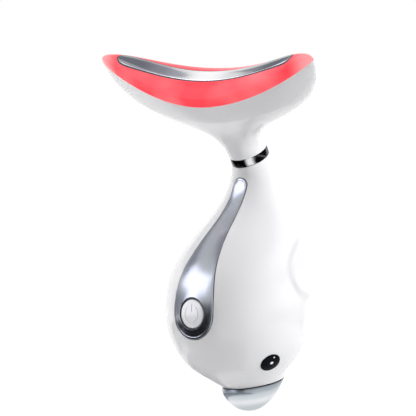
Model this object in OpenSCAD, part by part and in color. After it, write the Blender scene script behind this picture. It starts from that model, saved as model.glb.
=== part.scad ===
/* [Bulb handle] */
// Wall of the two bulb shells
wall = 2.2; // [1.6:0.1:2.6]
// Rise of the moulded side fins
fin_rise = 0.9; // [0:0.1:1.4]
// Width over which a fin's front edge rises
fin_step = 3; // [2:0.5:5]

/* [Ribbon and button] */
// Height of the button's centre
button_z = 34.5; // [33:0.1:36]
// Radius of the power button's cap
button_r = 5.05; // [4.6:0.05:5.6]
// Width of the dark ring round the cap
button_ring = 0.65; // [0.5:0.05:0.9]
// Travel of the power button
button_travel = 0.5; // [0.3:0.1:0.8]
// Radius of the ribbon's round lower end
ribbon_low_r = 9; // [8.4:0.1:9.4]
// Radius of the ribbon's round upper end
ribbon_top_r = 3.1; // [2.4:0.1:3.6]
// Height of the centre of the ribbon's upper end
ribbon_top_z = 78.6; // [74:0.2:80]
// Thickness of the ribbon
ribbon_t = 1; // [0.8:0.1:1.2]

/* [Face] */
// Radius of an eye
eye_r = 3.7; // [3:0.1:4.2]
// Height of the eyes' centres
eye_z = 17.3; // [16.5:0.1:18.5]
// Direction of the eyes, measured round the bulb from the front
eye_turn = 74; // [68:0.5:80]
// Radius of the round silver base's bowl, measured behind the lip that cuts it
base_r = 13; // [12.8:0.05:13.2]

/* [Neck] */
// Height of the ring's centre
ring_z = 90; // [89:0.5:91]
// Outer radius of the neck at the ring
neck_r = 6.9; // [6.6:0.1:7.2]
// Width of the ring's band
ring_h = 3; // [2.4:0.2:3.4]
// Forward lean of the ring's axis
ring_lean = 30; // [28:1:32]

/* [Head] */
// Length of the head from tip to tip
head_l = 97.6; // [90:0.2:104]
// Width of the head at the window's rim
head_w = 19; // [17:0.5:21]
// Forward lean of the face
head_lean = 39; // [36:0.5:42]
// Height of the window's rim above the ring, along the face's normal
rim_level = 28.8; // [27:0.2:30]
// Rise of the rim at the tips of the head
tip_rise = 10.8; // [8:0.2:12]
// Height of the window above its rim
cap_h = 6.7; // [5.5:0.1:7.5]
// Half length of the metal plate
plate_half_l = 40; // [36:0.5:42]
// Half width of the metal plate
plate_half_w = 2.55; // [2.4:0.05:3]

/* [Hidden] */
$fn = 48;

// Sections of the bulb from the lip to the ring: height, offset back, radius, forward lean
STATIONS = [[10.6, 6.3, 11.2, 14], [13, 3, 13.9, 9], [16.3, -0.1, 18.1, 4], [21.5, -1, 22, 1],
    [30, -1.4, 25.3, 0], [40, -0.2, 26.3, 0], [50, 2.1, 25.4, 0], [60, 5.2, 20.9, 0],
    [68.5, 7.8, 15.8, 2], [76.5, 8.8, 11.6, 8], [83.5, 8, 9, 18], [88.7, 4.95, 6.95, 30]];
BULB_ROWS = 27;
HALF_COLUMNS = 24;
RIBBON_ROWS = 30;
HEAD_ROWS = 15;
HEAD_COLUMNS = 40;

neck_y = 4.2;
part_gap = 0.05;
seam_turn = 0.1;
guide_gap = 0.07;

ribbon_proud = 0.15;
pocket_gap = 0.1;
ribbon_bend_high = [60, 2.8];
ribbon_bend_low = [52, 9];

fin_z = 51;
fin_half_h = 12;
fin_front = 75;
fin_fade = 14;

eye_t = 2.3;
eye_round = 12;
eye_bulge = 0.65;

BOWL_HALF = [0, 0.415 * base_r, 0.646 * base_r, base_r];
BOWL_RISE = [0, 0, 6.6, 14.1];
base_forward = 1.6;
base_wall = 2;
collar_r = STATIONS[0][2] - 0.65;
collar_t = 0.9;
collar_sink = 0.3;
collar_h = 2.2;

core_r = 4.6;
core_in_r = 3;
core_flange_r = 5.6;
core_up = 7.4;
core_down = 9.6;
seal_up = 3;
seal_r = 0.34;

flare_half = [neck_r, 5, 46, head_l / 2];
flare_depth = [neck_r, 7, 8.6, head_w / 2];
flare_level = [0, 18.5, 14.5, rim_level];
sweep_back = 3.4;
neck_bow = 1.2;
head_wall = 1.8;
tip_wall = 2.6;
window_t = 1.6;
rim_gap = 0.1;
plate_t = 1.4;
gasket_w = 0.45;
gasket_gap = 0.08;
gasket_deep = 1.2;
SLOT_POWER = 18;
led_board_drop = 1;
led_board_t = 0.8;
led_row = 4.2;
carrier_t = 1.5;

board_y = -12;
board_t = 1.6;
board_half_w = 13;
board_z = [20, 54];
board_hole = [10.5, 3];
chassis_y = -6.5;
chassis_t = 1.5;
chassis_half_w = 18.5;
chassis_ear = 3.4;
chassis_screw_x = 16.5;
chassis_screw_z = 40;
chassis_boss_y = 18.2;
CHASSIS_SLOTS = [27, 34, 47];
battery_size = [28, 6.2, 37];
battery_fold = 1.6;
battery_y = chassis_y + chassis_t + battery_size[1] / 2;
shell_screw_z = [62, 73];
screw_depth = 3.1;
screw_meet = 5.2;
boss_r = 3;

// Screws: radius and height of the head, radius and length of the shank
SHELL_SCREW = [1.9, 1.4, 1, 10];
CHASSIS_SCREW = [1.5, 0.9, 0.8, 8];
BOARD_SCREW = [1.5, 0.8, 0.8, board_t + 2.6];
usb_z = 23;
usb_w = 8.9;
usb_h = 3.2;
usb_l = 7.3;
usb_bury = 4;
usb_board_t = 1;
usb_mouth_y = 20.5;
usb_board_y = 8.7;
switch_face_y = -15.4;
switch_w = 6;
plunger_r = 1.7;
plunger_face_y = -17;
plunger_l = 2.4;
stem_r = 1.5;
cap_top = -0.4;
cap_dome = 0.3;
cap_under = -1.7;
guide_top = -1.1;
guide_flange_r = 7.2;
guide_t = 1.1;
guide_sleeve_l = 1.4;

motor_level = 17;
motor_y = 1;
motor_r = 3.3;
motor_span = [-9.5, 1.5];
shaft_r = 0.5;
shaft_l = 12.3;
weight_r = 3;
weight_t = 3.6;
weight_hub_r = 1.2;
sleeve_t = 1;
sleeve_l = 8;
LED_STATIONS = [-30, -21, -12, 12, 21, 30];

harness_r = 1.1;
harness_from = [4.5, board_y + board_t + harness_r, board_z[1] + 0.6];
lead_r = 0.7;

// Value on a cubic curve through the first and last of four values
function bez(t, v) = pow(1 - t, 3) * v[0] + 3 * t * pow(1 - t, 2) * v[1]
    + 3 * t * t * (1 - t) * v[2] + pow(t, 3) * v[3];
function clamp(x, low = 0, high = 1) = min(max(x, low), high);
function ease(x) = let(c = clamp(x)) c * c * (3 - 2 * c);
function mix(a, b, s) = a + (b - a) * s;
function unit(v) = v / norm(v);

// Smooth value of one column of the bulb's sections, t running from the lip (0) to the ring (1)
function section(t, k) = let(
    last = len(STATIONS) - 1,
    x = clamp(t) * last,
    i = min(floor(x), last - 1),
    f = x - i,
    b = STATIONS[i][k],
    c = STATIONS[i + 1][k],
    a = i > 0 ? STATIONS[i - 1][k] : 2 * b - c,
    d = i < last - 1 ? STATIONS[i + 2][k] : 2 * c - b)
    0.5 * (2 * b + (c - a) * f + (2 * a - 5 * b + 4 * c - d) * f * f + (3 * b - a - 3 * c + d) * pow(f, 3));

// Height of a fin over the bulb, with a curved front edge that fades towards the back
function fin(t, turn) = let(
    side = turn > 180 ? 360 - turn : abs(turn),
    up = (section(t, 0) - fin_z) / fin_half_h,
    edge = fin_front + 22 * up * up,
    behind = (side - edge) * section(t, 2) * PI / 180)
    fin_rise * ease(behind / fin_step) * (1 - ease((behind - 4) / fin_fade)) * ease(2 * (1 - up * up));

// Point on the bulb's outer skin, turn in degrees round from the front
function bulb(t, turn) = let(
    r = section(t, 2) + fin(t, turn),
    lean = section(t, 3))
    [r * sin(turn), section(t, 1) - r * cos(turn) * cos(lean), section(t, 0) - r * cos(turn) * sin(lean)];

function bulb_normal(t, turn) = let(
    across = bulb(t, turn + 1) - bulb(t, turn - 1),
    along = bulb(clamp(t + 0.01), turn) - bulb(clamp(t - 0.01), turn))
    unit(cross(across, along));

// Point below the skin; at the lip the wall runs straight up from the edge
function under_bulb(t, turn, depth) = let(
    lip = clamp(1 - t * (len(STATIONS) - 1)),
    lean = section(t, 3),
    inward = unit(mix(-bulb_normal(t, turn), [0, -sin(lean), cos(lean)], lip)))
    bulb(t, turn) + depth * inward;

// Section value t at which the skin reaches a height
function level_of(z, turn = 0, low = 0.08, high = 1, n = 24) = let(m = (low + high) / 2)
    n == 0 ? m : bulb(m, turn)[2] < z ? level_of(z, turn, m, high, n - 1) : level_of(z, turn, low, m, n - 1);

// Half width of the ribbon, k running from the top end (0) to the bottom end (1), with its height
function ribbon_edge(k, grow = 0) = let(
    top = 0.16,
    low = 0.72,
    a = k < top ? 90 * (1 - k / top) : 90 * (k - low) / (1 - low),
    b = (k - top) / (low - top),
    body = [bez(b, [ribbon_top_z, ribbon_bend_high[0], ribbon_bend_low[0], button_z]),
        bez(b, [ribbon_top_r, ribbon_bend_high[1], ribbon_bend_low[1], ribbon_low_r])])
    k < top ? [ribbon_top_z + (ribbon_top_r + grow) * sin(a), (ribbon_top_r + grow) * cos(a)]
    : k < low ? [body[0], body[1] + grow]
    : [button_z - (ribbon_low_r + grow) * sin(a), (ribbon_low_r + grow) * cos(a)];

function ribbon_row(k, depth, grow) = let(
    edge = ribbon_edge(clamp(k, 0.004, 0.996), grow),
    t = level_of(edge[0]),
    turn = max(edge[1], 0.3) / section(t, 2) * 180 / PI)
    [for (c = [-1:0.25:1]) under_bulb(t, c * turn, depth)];

// Section of the head between the round neck (t = 0) and the leaf-shaped rim (t = 1)
function leaf(t, x) = pow(max(1 - pow(abs(x), 2 - 0.3 * t), 0), 0.5 + 0.14 * t);
function sweep(x) = sweep_back * (1 - pow(1 - x * x, 2));
function flare(t, turn, side_in = 0, tip_in = 0, up = 0) = let(
    x = sin(turn),
    lean = (ring_lean - head_lean) * (1 - min(1, 2.5 * t)),
    seat = ring_h / 2 * pow(1 - t, 3),
    front = (bez(t, flare_depth) - side_in) * sign(cos(turn)) * leaf(t, x))
    [(bez(t, flare_half) - tip_in) * x,
     neck_bow * sin(180 * min(1.3 * t, 1)) + pow(t, 3) * sweep(x) - front * cos(lean)
        - seat * sin(ring_lean - head_lean),
     bez(t, flare_level) + seat * cos(lean) + up - front * sin(lean) + tip_rise * pow(t, 3) * x * x];
function flare_lining(t, turn) = flare(t, turn, head_wall,
    mix(head_wall, tip_wall, t), head_wall * sin(180 * t));

// Height of the window's skin over a point of its plan, inset for the inner skin
function cap(x, y, side_in = 0, tip_in = 0, drop = 0) = let(
    along = x / (head_l / 2),
    near = clamp(abs(x) / (head_l / 2 - tip_in)),
    across = (y - sweep(along)) / max((head_w / 2 - side_in) * leaf(1, near), 0.01))
    rim_level + tip_rise * along * along
        + (cap_h - drop) * sqrt(1 - pow(near, 6)) * sqrt(max(1 - across * across, 0));

// Plan of the slot for the plate: a long shape with round ends
function slot(turn, grow) = let(
    x = (plate_half_l + grow) * sin(turn),
    half = (plate_half_w + grow) * sqrt(1 - pow(abs(sin(turn)), SLOT_POWER)))
    [x, sweep(x / (head_l / 2)) - sign(cos(turn)) * half];

function cap_row(s, inner) = [for (i = [0:HEAD_COLUMNS - 1]) let(
    turn = 360 * i / HEAD_COLUMNS - 180,
    rim = inner ? flare_lining(1, turn) : flare(1, turn),
    edge = slot(turn, gasket_w),
    x = mix(rim[0], edge[0], s),
    y = mix(rim[1], edge[1], s),
    z = s == 0 ? rim[2] + rim_gap : inner ? cap(x, y, head_wall, tip_wall, window_t) : cap(x, y))
    [x, y, z]];

// Row of points across the head at x, half as wide as given, dropped below the window's skin
function strip_row(x, half_w, drop) = let(middle = sweep(x / (head_l / 2)))
    [for (c = [-1:0.5:1]) [x, middle - c * half_w, cap(x, middle - c * half_w) - drop]];
function flat_row(x, half_w, drop) = let(along = x / (head_l / 2))
    [for (c = [-1, 0, 1]) [x, sweep(along) - c * half_w * leaf(1, along),
        rim_level + tip_rise * along * along - drop]];

// Closed solid between an outer and an inner sheet of points, both given as rows of equal length
module skin(outer, inner, wrap = false) {
    rows = len(outer);
    columns = len(outer[0]);
    base = rows * columns;
    last = wrap ? columns - 1 : columns - 2;
    function at(i, j) = i * columns + j % columns;
    function under(q) = [for (k = [3:-1:0]) q[k] + base];
    function side(a, b) = [a, b, b + base, a + base];
    function turned(q) = [q[1], q[2], q[3], q[0]];
    sheet = [for (i = [0:rows - 2], j = [0:last]) [at(i, j), at(i + 1, j), at(i + 1, j + 1), at(i, j + 1)]];
    ends = [for (j = [0:last]) each
        [side(at(0, j), at(0, j + 1)), side(at(rows - 1, j + 1), at(rows - 1, j))]];
    sides = wrap ? [] : [for (i = [0:rows - 2]) each [turned(side(at(i + 1, 0), at(i, 0))),
        side(at(i, columns - 1), at(i + 1, columns - 1))]];
    quads = concat(sheet, [for (q = sheet) under(q)], ends, sides);
    polyhedron(concat([for (r = outer) each r], [for (r = inner) each r]),
        [for (q = quads) each [[q[0], q[1], q[2]], [q[0], q[2], q[3]]]], convexity = 10);
}

// Round tube swept along a route, its rings square to the path
module tube(route, r, sides = 8) {
    n = len(route);
    function ahead(i) = unit(route[min(i + 1, n - 1)] - route[max(i - 1, 0)]);
    function level(d) = unit(cross(d, abs(d[0]) > 0.9 ? [0, 1, 0] : [1, 0, 0]));
    rings = [for (i = [0:n - 1]) let(d = ahead(i), u = level(d), w = cross(d, u))
        [for (k = [0:sides - 1]) route[i] + r * (u * cos(360 * k / sides) + w * sin(360 * k / sides))]];
    walls = [for (i = [0:n - 2], k = [0:sides - 1]) let(m = (k + 1) % sides)
        each [[i * sides + k, (i + 1) * sides + k, (i + 1) * sides + m],
              [i * sides + k, (i + 1) * sides + m, i * sides + m]]];
    polyhedron([for (ring = rings) each ring],
        concat(walls, [[for (k = [0:sides - 1]) k]], [[for (k = [sides - 1:-1:0]) (n - 1) * sides + k]]));
}

// Points of a smooth route through a few hand-placed ones
function smooth_route(p, steps = 4) = let(n = len(p) - 1)
    concat([for (i = [0:n - 1], s = [0:steps - 1]) let(
        f = s / steps,
        a = p[max(i - 1, 0)],
        b = p[i],
        c = p[i + 1],
        d = p[min(i + 2, n)])
        0.5 * (2 * b + (c - a) * f + (2 * a - 5 * b + 4 * c - d) * f * f
            + (3 * b - a - 3 * c + d) * pow(f, 3))], [p[n]]);

module at_neck() {
    translate([0, neck_y, ring_z]) rotate([ring_lean, 0, 0]) children();
}
module at_head() {
    translate([0, neck_y, ring_z]) rotate([head_lean, 0, 0]) children();
}
button_y = bulb(level_of(button_z), 0)[1];
module at_button() {
    translate([0, button_y, button_z]) rotate([90, 0, 0]) children();
}
module at_lip() {
    translate([0, STATIONS[0][1], STATIONS[0][0]]) rotate([STATIONS[0][3], 0, 0]) children();
}
module at_eye(side) {
    t = level_of(eye_z, eye_turn);
    place = bulb(t, side * eye_turn);
    out = bulb_normal(t, side * eye_turn);
    translate(place) rotate([0, acos(out[2]), atan2(out[1], out[0])]) children();
}
// Cylinder along Y from y0 to y1 at (x, z)
module bar_y(x, z, y0, y1, r) {
    translate([x, y1, z]) rotate([90, 0, 0]) cylinder(h = y1 - y0, r = r);
}
// Small screw along +Y, its size given as radius and height of the head, radius and length of the shank
module screw_y(x, z, y, size) {
    bar_y(x, z, y, y + size[1], size[0]);
    bar_y(x, z, y + size[1] - 0.01, y + size[1] + size[3], size[2]);
}
function face_y(z) = bulb(level_of(z), 0)[1];
screw_head_y = [for (z = shell_screw_z) face_y(z) + screw_depth];
board_hole_z = [board_z[0] + board_hole[1], board_z[1] - board_hole[1]];

module half_skin(from) {
    turns = [for (j = [0:HALF_COLUMNS]) from + seam_turn + (180 - 2 * seam_turn) * j / HALF_COLUMNS];
    levels = [for (i = [0:BULB_ROWS]) i / BULB_ROWS];
    skin([for (t = levels) [for (a = turns) bulb(t, a)]],
        [for (t = levels) [for (a = turns) under_bulb(t, a, wall)]]);
}
module ribbon_block(high, deep, grow) {
    steps = [for (k = [RIBBON_ROWS:-1:0]) k / RIBBON_ROWS];
    skin([for (k = steps) ribbon_row(k, high, grow)], [for (k = steps) ribbon_row(k, deep, grow)]);
}

module front_shell() color("white") difference() {
    union() {
        half_skin(-90);
        for (i = [0, 1])
            bar_y(0, shell_screw_z[i], screw_head_y[i] - 0.6, screw_head_y[i] + screw_meet, boss_r);
    }
    ribbon_block(-1.2, ribbon_t + part_gap - ribbon_proud, pocket_gap);
    at_button() cylinder(h = 4 * wall, r = button_r + button_ring + part_gap, center = true);
    for (i = [0, 1]) {
        bar_y(0, shell_screw_z[i], screw_head_y[i] - 8, screw_head_y[i] + SHELL_SCREW[1],
            SHELL_SCREW[0] + 0.2);
        bar_y(0, shell_screw_z[i], screw_head_y[i], screw_head_y[i] + 8, SHELL_SCREW[2] + 0.1);
    }
    for (side = [-1, 1]) at_eye(side) cylinder(h = 4 * wall, r = eye_r + part_gap, center = true);
}

module back_shell() color("white") difference() {
    union() {
        half_skin(90);
        for (i = [0, 1]) bar_y(0, shell_screw_z[i], screw_head_y[i] + screw_meet + part_gap,
            bulb(level_of(shell_screw_z[i], 180), 180)[1] - wall + 0.3, boss_r - 0.4);
        for (side = [-1, 1])
            bar_y(side * chassis_screw_x, chassis_screw_z, chassis_y + chassis_t, chassis_boss_y, 2.2);
    }
    for (i = [0, 1]) bar_y(0, shell_screw_z[i], screw_head_y[i],
        screw_head_y[i] + SHELL_SCREW[1] + SHELL_SCREW[3], SHELL_SCREW[2]);
    for (side = [-1, 1]) bar_y(side * chassis_screw_x, chassis_screw_z, chassis_y,
        chassis_y + CHASSIS_SCREW[3] + 1, CHASSIS_SCREW[2]);
    at_usb() translate([0, 0, -usb_bury]) linear_extrude(10) usb_outline(0.15);
}

module trim_ribbon() color("silver") difference() {
    ribbon_block(-ribbon_proud, ribbon_t - ribbon_proud, 0);
    at_button() cylinder(h = 8 * ribbon_t, r = button_r + button_ring, center = true);
}

// Dark collar round the cap, with the bore that the stem slides in
module button_guide() color("dimgray") at_button() rotate_extrude() {
    collar = button_r + button_ring - 0.03;
    seat = cap_under - button_travel - 0.4;
    back = seat - 2 * guide_t;
    bore = stem_r + guide_gap;
    polygon([[bore, back - guide_sleeve_l], [bore + guide_t, back - guide_sleeve_l], [bore + guide_t, back],
        [guide_flange_r, back], [guide_flange_r, seat - guide_t], [collar, seat - guide_t],
        [collar, guide_top], [button_r + guide_gap, guide_top], [button_r + guide_gap, seat], [bore, seat]]);
}

module power_button() color("whitesmoke") at_button() rotate_extrude() {
    crown = [for (a = [0:0.125:1]) [button_r * a, cap_top - cap_dome * a * a]];
    polygon(concat(crown, [[button_r, cap_under], [stem_r, cap_under], [stem_r, button_y - plunger_face_y],
        [0, button_y - plunger_face_y]]));
}

module switch_plunger() color("black") bar_y(0, button_z, plunger_face_y,
    plunger_face_y + plunger_l, plunger_r);

module tact_switch() color("dimgray") difference() {
    union() {
        translate([-switch_w / 2, switch_face_y, button_z - switch_w / 2])
            cube([switch_w, board_y - switch_face_y, switch_w]);
        for (x = [-switch_w / 2 - 1.2, switch_w / 2], z = [-2.4, 1.6])
            translate([x, board_y - 0.5, button_z + z]) cube([1.2, 0.5, 0.8]);
    }
    bar_y(0, button_z, switch_face_y - 1, plunger_face_y + plunger_l + button_travel + 0.4,
        plunger_r + part_gap);
}

// Component on the board's front, or on its back, with its lower left corner at (x, z)
module chip(x, z, w, h, rise, back = false)
    translate([x, back ? board_y + board_t : board_y - rise, z]) cube([w, rise, h]);

module main_board() color("darkgreen") {
    difference() {
        translate([-board_half_w, board_y, board_z[0]])
            cube([2 * board_half_w, board_t, board_z[1] - board_z[0]]);
        for (side = [-1, 1], z = board_hole_z)
            bar_y(side * board_hole[0], z, board_y - 1, board_y + board_t + 1, BOARD_SCREW[2] + 0.1);
    }
    chip(-3.5, 43, 7, 7, 1.2);
    chip(-9, 41, 3, 5, 1);
    chip(-8, 20.6, 6, 4, 2.4);
    chip(harness_from[0] - 3.3, board_z[1] - 4.4, 7, 4.4, 2 * harness_r, back = true);
    for (z = [26, 29, 32]) chip(-8.5, z, 1.6, 0.9, 0.8);
}

module board_screws() color("silver") for (side = [-1, 1], z = board_hole_z)
    screw_y(side * board_hole[0], z, board_y - BOARD_SCREW[1], BOARD_SCREW);

module chassis() color("gray") difference() {
    union() {
        translate([-board_half_w, chassis_y, board_z[0] - 1])
            cube([2 * board_half_w, chassis_t, battery_size[2] + 3]);
        translate([-chassis_half_w, chassis_y, chassis_screw_z - chassis_ear])
            cube([2 * chassis_half_w, chassis_t, 2 * chassis_ear]);
        for (side = [-1, 1], z = board_hole_z)
            bar_y(side * board_hole[0], z, board_y + board_t, chassis_y, 2);
        translate([-board_half_w, chassis_y + chassis_t - 0.1, board_z[0] - 1])
            cube([2 * board_half_w, battery_size[1] + 0.1, 1.2]);
    }
    for (side = [-1, 1], z = board_hole_z)
        bar_y(side * board_hole[0], z, board_y, chassis_y + 0.2, BOARD_SCREW[2]);
    for (side = [-1, 1]) bar_y(side * chassis_screw_x, chassis_screw_z, chassis_y - 1,
        chassis_y + chassis_t + 1, CHASSIS_SCREW[2] + 0.1);
    for (z = CHASSIS_SLOTS) translate([-5, chassis_y - 1, z]) cube([10, chassis_t + 2, 3]);
}

module chassis_screws() color("silver") for (side = [-1, 1])
    screw_y(side * chassis_screw_x, chassis_screw_z, chassis_y - CHASSIS_SCREW[1], CHASSIS_SCREW);

// Flat pouch cell with rounded sides and a folded edge at its top
module battery() color("lightsteelblue") {
    z = board_z[0] + 0.4;
    r = battery_size[1] / 2;
    hull() for (side = [-1, 1]) translate([side * (battery_size[0] / 2 - r), battery_y, z])
        cylinder(h = battery_size[2], r = r - 0.05, $fn = 32);
    translate([-11, battery_y - 0.5, z + battery_size[2]]) cube([22, 1, battery_fold]);
}

module battery_leads() color("crimson") {
    from = board_z[0] + 0.4 + battery_size[2] + battery_fold;
    tube(smooth_route([[8.5, battery_y, from], [8.5, battery_y - 0.4, from + 1.6], [8.2, -5.6, from + 2],
        [7, -8.6, from - 0.4], [6.2, -9, board_z[1] + 0.1]]), lead_r);
}

module usb_outline(grow) {
    hull() for (side = [-1, 1]) translate([side * (usb_w - usb_h) / 2, 0])
        circle(r = usb_h / 2 + grow, $fn = 32);
}
module at_usb() translate([0, usb_mouth_y, usb_z]) rotate([-90, 0, 0]) children();
module usb_socket() color("silver") at_usb() difference() {
    translate([0, 0, -usb_l]) linear_extrude(usb_l) usb_outline(0);
    translate([0, 0, 1.5 - usb_l]) linear_extrude(usb_l) usb_outline(-0.35);
}
module usb_board() color("darkgreen") {
    top = usb_z - usb_h / 2;
    translate([-7, usb_board_y, top - usb_board_t]) cube([14, usb_l + 0.1, usb_board_t]);
    translate([-6, usb_board_y + 0.8, top]) cube([2.6, 2.4, 1.1]);
    translate([2.4, usb_board_y + 0.8, top]) cube([3.2, 1.6, 0.8]);
}
module usb_tongue() color("black") translate([-3.2, usb_mouth_y + 1.5 - usb_l, usb_z - 0.35])
    cube([6.4, 4.8, 0.7]);
module usb_leads() color("dimgray") {
    y = usb_board_y + 1;
    z = usb_z - usb_h / 2 - usb_board_t - lead_r - part_gap;
    tube(smooth_route([[-5.6, y, z], [-5.7, y - 2.4, z - 0.8], [-5.8, 3, 16.6],
        [-5.6, -5, 16], [-5.2, -12.2, 17], [-5, -13.6, 20.5]], 3), lead_r);
}

// Round silver base that fills the lip: a bowl of revolution cut along the lip, with a collar that enters it
module bowl(inset) translate([0, STATIONS[0][1] - base_forward, inset]) rotate_extrude($fn = 64)
    polygon(concat([for (t = [0:0.0625:1]) [bez(t, BOWL_HALF) * (1 - inset / base_r), bez(t, BOWL_RISE)]],
        [[0, BOWL_RISE[3]]]));
module round_base() color("silver") {
    difference() {
        bowl(0);
        bowl(base_wall);
        at_lip() cylinder(h = BOWL_RISE[3], r = 16);
    }
    at_lip() translate([0, 0, -collar_sink]) difference() {
        cylinder(h = collar_h, r = collar_r);
        translate([0, 0, -1]) cylinder(h = collar_h + 2, r = collar_r - collar_t);
    }
}

module eye(side) color("black") at_eye(side) intersection() {
    translate([0, 0, -eye_t]) cylinder(h = 2 * eye_t, r = eye_r);
    translate([0, 0, eye_bulge - eye_round]) sphere(r = eye_round, $fn = 96);
}
module left_eye() eye(-1);
module right_eye() eye(1);

module shell_screws() color("silver")
    for (i = [0, 1]) screw_y(0, shell_screw_z[i], screw_head_y[i], SHELL_SCREW);

// Hollow core that joins the handle to the head and carries the wires
module neck_core() color("gainsboro") at_neck() rotate_extrude() difference() {
    polygon([[core_in_r, -core_down], [core_r, -core_down], [core_r, 0.6 - core_down],
        [core_flange_r, 1 - core_down], [core_flange_r, 2 - core_down], [core_r, 2.6 - core_down],
        [core_r, core_up], [core_in_r, core_up]]);
    translate([core_r, seal_up]) circle(r = seal_r + part_gap, $fn = 24);
}
module neck_ring() color("silver") at_neck() rotate_extrude($fn = 96) {
    bulge = [for (a = [-60:15:60]) [neck_r - 0.4 + 0.55 * cos(a), (ring_h / 2 - 0.1) * sin(a) / sin(60)]];
    polygon(concat([[core_r + part_gap, -ring_h / 2], [neck_r - 0.3, -ring_h / 2]], bulge,
        [[neck_r - 0.3, ring_h / 2], [core_r + part_gap, ring_h / 2]]));
}
module neck_seal() color("black") at_neck() rotate_extrude() translate([core_r, seal_up])
    circle(r = seal_r, $fn = 24);

module head_shell() color("white") at_head() {
    levels = [for (i = [0:HEAD_ROWS]) i / HEAD_ROWS];
    turns = [for (i = [0:HEAD_COLUMNS - 1]) 360 * i / HEAD_COLUMNS - 180];
    skin([for (t = levels) [for (a = turns) flare(t, a)]],
        [for (t = levels) [for (a = turns) flare_lining(t, a)]], wrap = true);
}
module led_window() color("lightgreen", 0.7) at_head() {
    steps = [0, 0.08, 0.22, 0.42, 0.7, 1];
    skin([for (s = steps) cap_row(s, false)], [for (s = steps) cap_row(s, true)], wrap = true);
}
module plate_strip(half_l, half_w, top, thick, rows) {
    xs = [for (i = [0:rows]) half_l * sin(90 * (2 * i / rows - 1)) * 0.9995];
    function half(x) = half_w * sqrt(1 - pow(abs(x / half_l), SLOT_POWER));
    skin([for (x = xs) strip_row(x, half(x), top)], [for (x = xs) strip_row(x, half(x), top + thick)]);
}
module massage_plate() color("silver") at_head() plate_strip(plate_half_l, plate_half_w, -0.1, plate_t,
    HEAD_COLUMNS / 2);
module heater_film() color("orange") at_head()
    plate_strip(plate_half_l - 4, plate_half_w - 0.6, plate_t, 0.3, 14);
module plate_gasket() {
    function ring(grow, drop) = [for (i = [0:HEAD_COLUMNS - 1])
        let(p = slot(360 * i / HEAD_COLUMNS - 180, grow)) [p[0], p[1], cap(p[0], p[1]) - drop]];
    color("black") at_head() skin([for (grow = [gasket_w - gasket_gap, gasket_gap]) ring(grow, 0.12)],
        [for (grow = [gasket_w - gasket_gap, gasket_gap]) ring(grow, gasket_deep)], wrap = true);
}
module thermistor() color("black") at_head()
    translate([4, 0, rim_level + cap_h - plate_t - 1.1]) rotate([0, 90, 0]) cylinder(h = 2.4, r = 0.7);
module plate_contacts() color("gold") at_head() for (x = [-8, 8]) translate([x, 0, rim_level]) {
    translate([0, 0, -0.55]) cylinder(h = 2.85, r = 0.9);
    translate([0, 0, 2.2]) cylinder(h = cap_h - plate_t - 2.5, r = 0.5);
}

module bent_board(half_l, half_w, drop, thick, rows) {
    xs = [for (i = [0:rows]) half_l * (2 * i / rows - 1)];
    skin([for (x = xs) flat_row(x, half_w, drop)], [for (x = xs) flat_row(x, half_w, drop + thick)]);
}
module led_board() color("white") at_head() bent_board(36, 6.4, led_board_drop, led_board_t, 18);
module leds() color("yellow") at_head() for (x = LED_STATIONS, side = [-1, 1]) {
    along = x / (head_l / 2);
    lift = rim_level + tip_rise * along * along - led_board_drop + 0.05;
    slope = atan(2 * tip_rise * along / (head_l / 2));
    translate([x, sweep(along) - side * led_row * leaf(1, along), lift]) rotate([0, -slope, 0])
        translate([-1, -0.8, 0]) cube([2, 1.6, 0.8]);
}
module head_carrier() color("gainsboro") at_head() {
    under = led_board_drop + led_board_t + part_gap;
    bent_board(29, 6.3, under, carrier_t, 14);
    difference() {
        translate([-8, motor_y - 4.2, motor_level])
            cube([9, 8.4, rim_level - under - carrier_t + 0.15 - motor_level]);
        translate([-9, motor_y, motor_level]) rotate([0, 90, 0]) cylinder(h = 11, r = motor_r + sleeve_t);
    }
}

module at_motor() {
    at_head() translate([0, motor_y, motor_level]) rotate([0, 90, 0]) children();
}
module motor_case() color("silver") at_motor() difference() {
    translate([0, 0, motor_span[0]]) cylinder(h = motor_span[1] - motor_span[0], r = motor_r);
    translate([0, 0, motor_span[0] + 3]) cylinder(h = shaft_l, r = shaft_r + 0.04);
}
module motor_sleeve() color("dimgray") at_motor() translate([0, 0, motor_span[0] + 2]) difference() {
    cylinder(h = sleeve_l, r = motor_r + sleeve_t);
    translate([0, 0, -1]) cylinder(h = sleeve_l + 2, r = motor_r);
}
module motor_shaft() color("silver") at_motor() translate([0, 0, motor_span[0] + 3.2])
    cylinder(h = shaft_l, r = shaft_r);
module motor_weight() color("darkgoldenrod") at_motor() translate([0, 0, motor_span[1] + 0.8]) difference() {
    linear_extrude(weight_t) union() {
        intersection() {
            circle(r = weight_r);
            translate([-weight_r, -weight_r]) square([2 * weight_r, weight_r + 0.2]);
        }
        circle(r = weight_hub_r);
    }
    translate([0, 0, -1]) cylinder(h = weight_t + 2, r = shaft_r);
}

// Bundle from the board's connector, up through the core, to the board in the head
module head_harness() {
    s = sin(ring_lean);
    c = cos(ring_lean);
    function along_neck(n) = [0, neck_y - n * s, ring_z + n * c];
    function in_head(x, y, n) = [x, neck_y + y * cos(head_lean) - n * sin(head_lean),
        ring_z + y * sin(head_lean) + n * cos(head_lean)];
    color("dimgray") tube(smooth_route([harness_from, [4.6, -9.5, 57], [5, -7, 61.5],
        [5.2, -1, 67], [5, 4.6, 72], [3.6, 7.8, 77], [1.2, 8.6, 81.5], along_neck(-5), along_neck(0),
        along_neck(5), along_neck(8.5), in_head(3.5, 1, 10.6), in_head(8.5, 1.2, 12.6), in_head(12, 1, 17),
        in_head(13, 0.6, 22), in_head(13, 0.4, 25.6)], 2), harness_r);
}

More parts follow.
